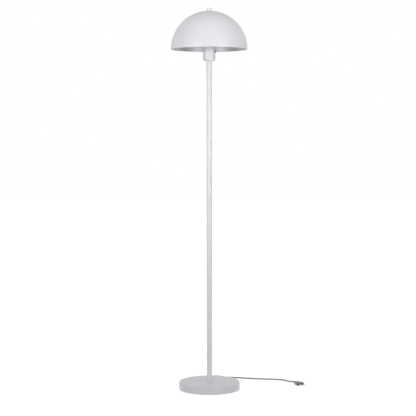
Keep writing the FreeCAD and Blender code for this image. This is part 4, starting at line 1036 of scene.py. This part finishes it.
class LAMP_OT_stage(bpy.types.Operator):
    """Set the camera, the pale floor and the soft lights"""

    bl_idname = "lamp.stage"
    bl_label = "Stage"

    def execute(self, context):
        """The camera's axes come from yaw, pitch and roll about the view that looks along +Y."""
        s = context.scene.studio
        scene = context.scene
        scene.view_settings.view_transform = "Standard"
        ahead = Vector((math.sin(s.yaw) * math.cos(s.pitch), math.cos(s.yaw) * math.cos(s.pitch), -math.sin(s.pitch)))
        right = Vector((math.cos(s.yaw), -math.sin(s.yaw), 0))
        up, lean, upright = right.cross(ahead), math.sin(s.roll), math.cos(s.roll)
        right, up = upright * right + lean * up, upright * up - lean * right
        camera = bpy.data.cameras.new("camera")
        camera.lens = s.lens
        camera.sensor_width = 36
        camera.sensor_fit = "HORIZONTAL"
        camera.clip_end = 100
        eye = bpy.data.objects.new("camera", camera)
        eye.matrix_world = Matrix.Translation((0, -s.camera_distance, s.camera_height)) @ Matrix(
            (right, up, -ahead)).transposed().to_4x4()
        scene.collection.objects.link(eye)
        scene.camera = eye
        self.floor(s)
        for light in (
            ("front_left", (-2.6, -3.2, 1.2), (0, 0, 1.34), (0.9, 1.3), s.key_power, s.key_spread),
            ("front_right", (2.6, -3.2, 1.2), (0, 0, 1.34), (0.9, 1.3), s.key_power, s.key_spread),
            ("above", (0, -0.4, 3.4), (0, 0, 0), (2.4, 2.4), s.top_power, math.pi),
            ("on_base", (0, -2.4, 1.9), (0, 0, 0.03), (0.8, 0.8), s.base_power, math.radians(25)),
            ("behind", (0, 4.0, 1.2), (0, 0, 0.9), (2.0, 2.4), s.back_power, math.radians(70)),
        ):
            self.light(*light)
        # The base's top would mirror this one.
        bpy.data.objects["behind"].visible_glossy = False
        scene.world = self.surround(s)
        return {"FINISHED"}

    def surround(self, s):
        """White to the camera. To all else sky above the horizon and bounce below, mixed near it."""
        world = bpy.data.worlds.new("white_surround")
        w = Tree(world)
        plain = w.nodes["Background"]
        plain.inputs["Color"].default_value = (1, 1, 1, 1)
        direction = w.node("ShaderNodeTexCoord", {}, {}, "Generated")
        height = w.node("ShaderNodeSeparateXYZ", {}, {0: direction}, "Z")
        horizon = {"Value": height, "From Min": -0.1, "From Max": 0.1, "To Min": s.bounce, "To Max": s.sky}
        lit = w.node("ShaderNodeBackground", {}, {"Strength": w.node("ShaderNodeMapRange", {}, horizon)})
        seen = w.node("ShaderNodeLightPath", {}, {}, "Is Camera Ray")
        either = w.node("ShaderNodeMixShader", {}, {0: seen, 1: lit, 2: Wire(w, plain.outputs[0])})
        w.links.new(either.socket, w.nodes["World Output"].inputs["Surface"])
        return world

    def floor(self, s):
        """A pale matt panel, lit a little from below as in a light tent."""
        f = Finish("floor_panel", roughness=0.75, ior=1.3)
        f.shader.inputs["Base Color"].default_value = (0.90, 0.90, 0.90, 1)
        f.shader.inputs["Emission Color"].default_value = (1, 1, 1, 1)
        f.shader.inputs["Emission Strength"].default_value = s.floor_glow
        half, drop = 14.0, -0.0002
        mesh = bpy.data.meshes.new("floor")
        corners = [(-half, -half, drop), (half, -half, drop), (half, half, drop), (-half, half, drop)]
        mesh.from_pydata(corners, [], [(0, 1, 2, 3)])
        mesh.materials.append(f.material)
        floor = bpy.data.objects.new("floor", mesh)
        floor.visible_diffuse = False
        bpy.context.scene.collection.objects.link(floor)

    def light(self, name, place, aim, extent, power, spread):
        """A soft box, unseen by the camera."""
        lamp = bpy.data.lights.new(name, "AREA")
        lamp.shape = "RECTANGLE"
        lamp.size, lamp.size_y = extent
        lamp.energy = power
        lamp.spread = spread
        holder = bpy.data.objects.new(name, lamp)
        holder.location = place
        holder.visible_camera = False
        holder.rotation_euler = (Vector(aim) - Vector(place)).to_track_quat("-Z", "Y").to_euler()
        bpy.context.scene.collection.objects.link(holder)


OPERATORS = (
    LAMP_OT_finishes, LAMP_OT_base, LAMP_OT_pole, LAMP_OT_shade, LAMP_OT_knob, LAMP_OT_bracket,
    LAMP_OT_button, LAMP_OT_spring, LAMP_OT_bulb_cap, LAMP_OT_strain_relief, LAMP_OT_strap, LAMP_OT_plug,
    LAMP_OT_lead, LAMP_OT_stage,
)


class LAMP_PT_panel(bpy.types.Panel):
    """Lists the lamp's pieces and their settings."""

    bl_idname = "LAMP_PT_panel"
    bl_label = "Floor Lamp"
    bl_space_type = "VIEW_3D"
    bl_region_type = "UI"
    bl_category = "Floor Lamp"

    def draw(self, context):
        for group, _, _ in GROUPS:
            settings = getattr(context.scene, group)
            box = self.layout.box()
            for label in settings.__annotations__:
                box.prop(settings, label)
        for kind in OPERATORS:
            self.layout.operator(kind.bl_idname)


GROUPS = (
    ("lamp_sizes", LampSizes, "Sizes of the lamp"),
    ("lead_sizes", LeadSizes, "Sizes of the mains lead"),
    ("paint_colours", PaintColours, "Colours of the finishes"),
    ("studio", StudioSettings, "Camera and lights"),
)


def register():
    """Add the settings, the operators and the panel."""
    for name, group, words in GROUPS:
        bpy.utils.register_class(group)
        setattr(bpy.types.Scene, name, bpy.props.PointerProperty(type=group, description=words))
    for kind in (*OPERATORS, LAMP_PT_panel):
        bpy.utils.register_class(kind)


def unregister():
    """Take them away again, last first."""
    for kind in (LAMP_PT_panel, *reversed(OPERATORS)):
        bpy.utils.unregister_class(kind)
    for name, group, _ in reversed(GROUPS):
        delattr(bpy.types.Scene, name)
        bpy.utils.unregister_class(group)


def main():
    register()
    for kind in OPERATORS:
        family, name = kind.bl_idname.split(".")
        getattr(getattr(bpy.ops, family), name)()


if __name__ == "__main__":
    main()
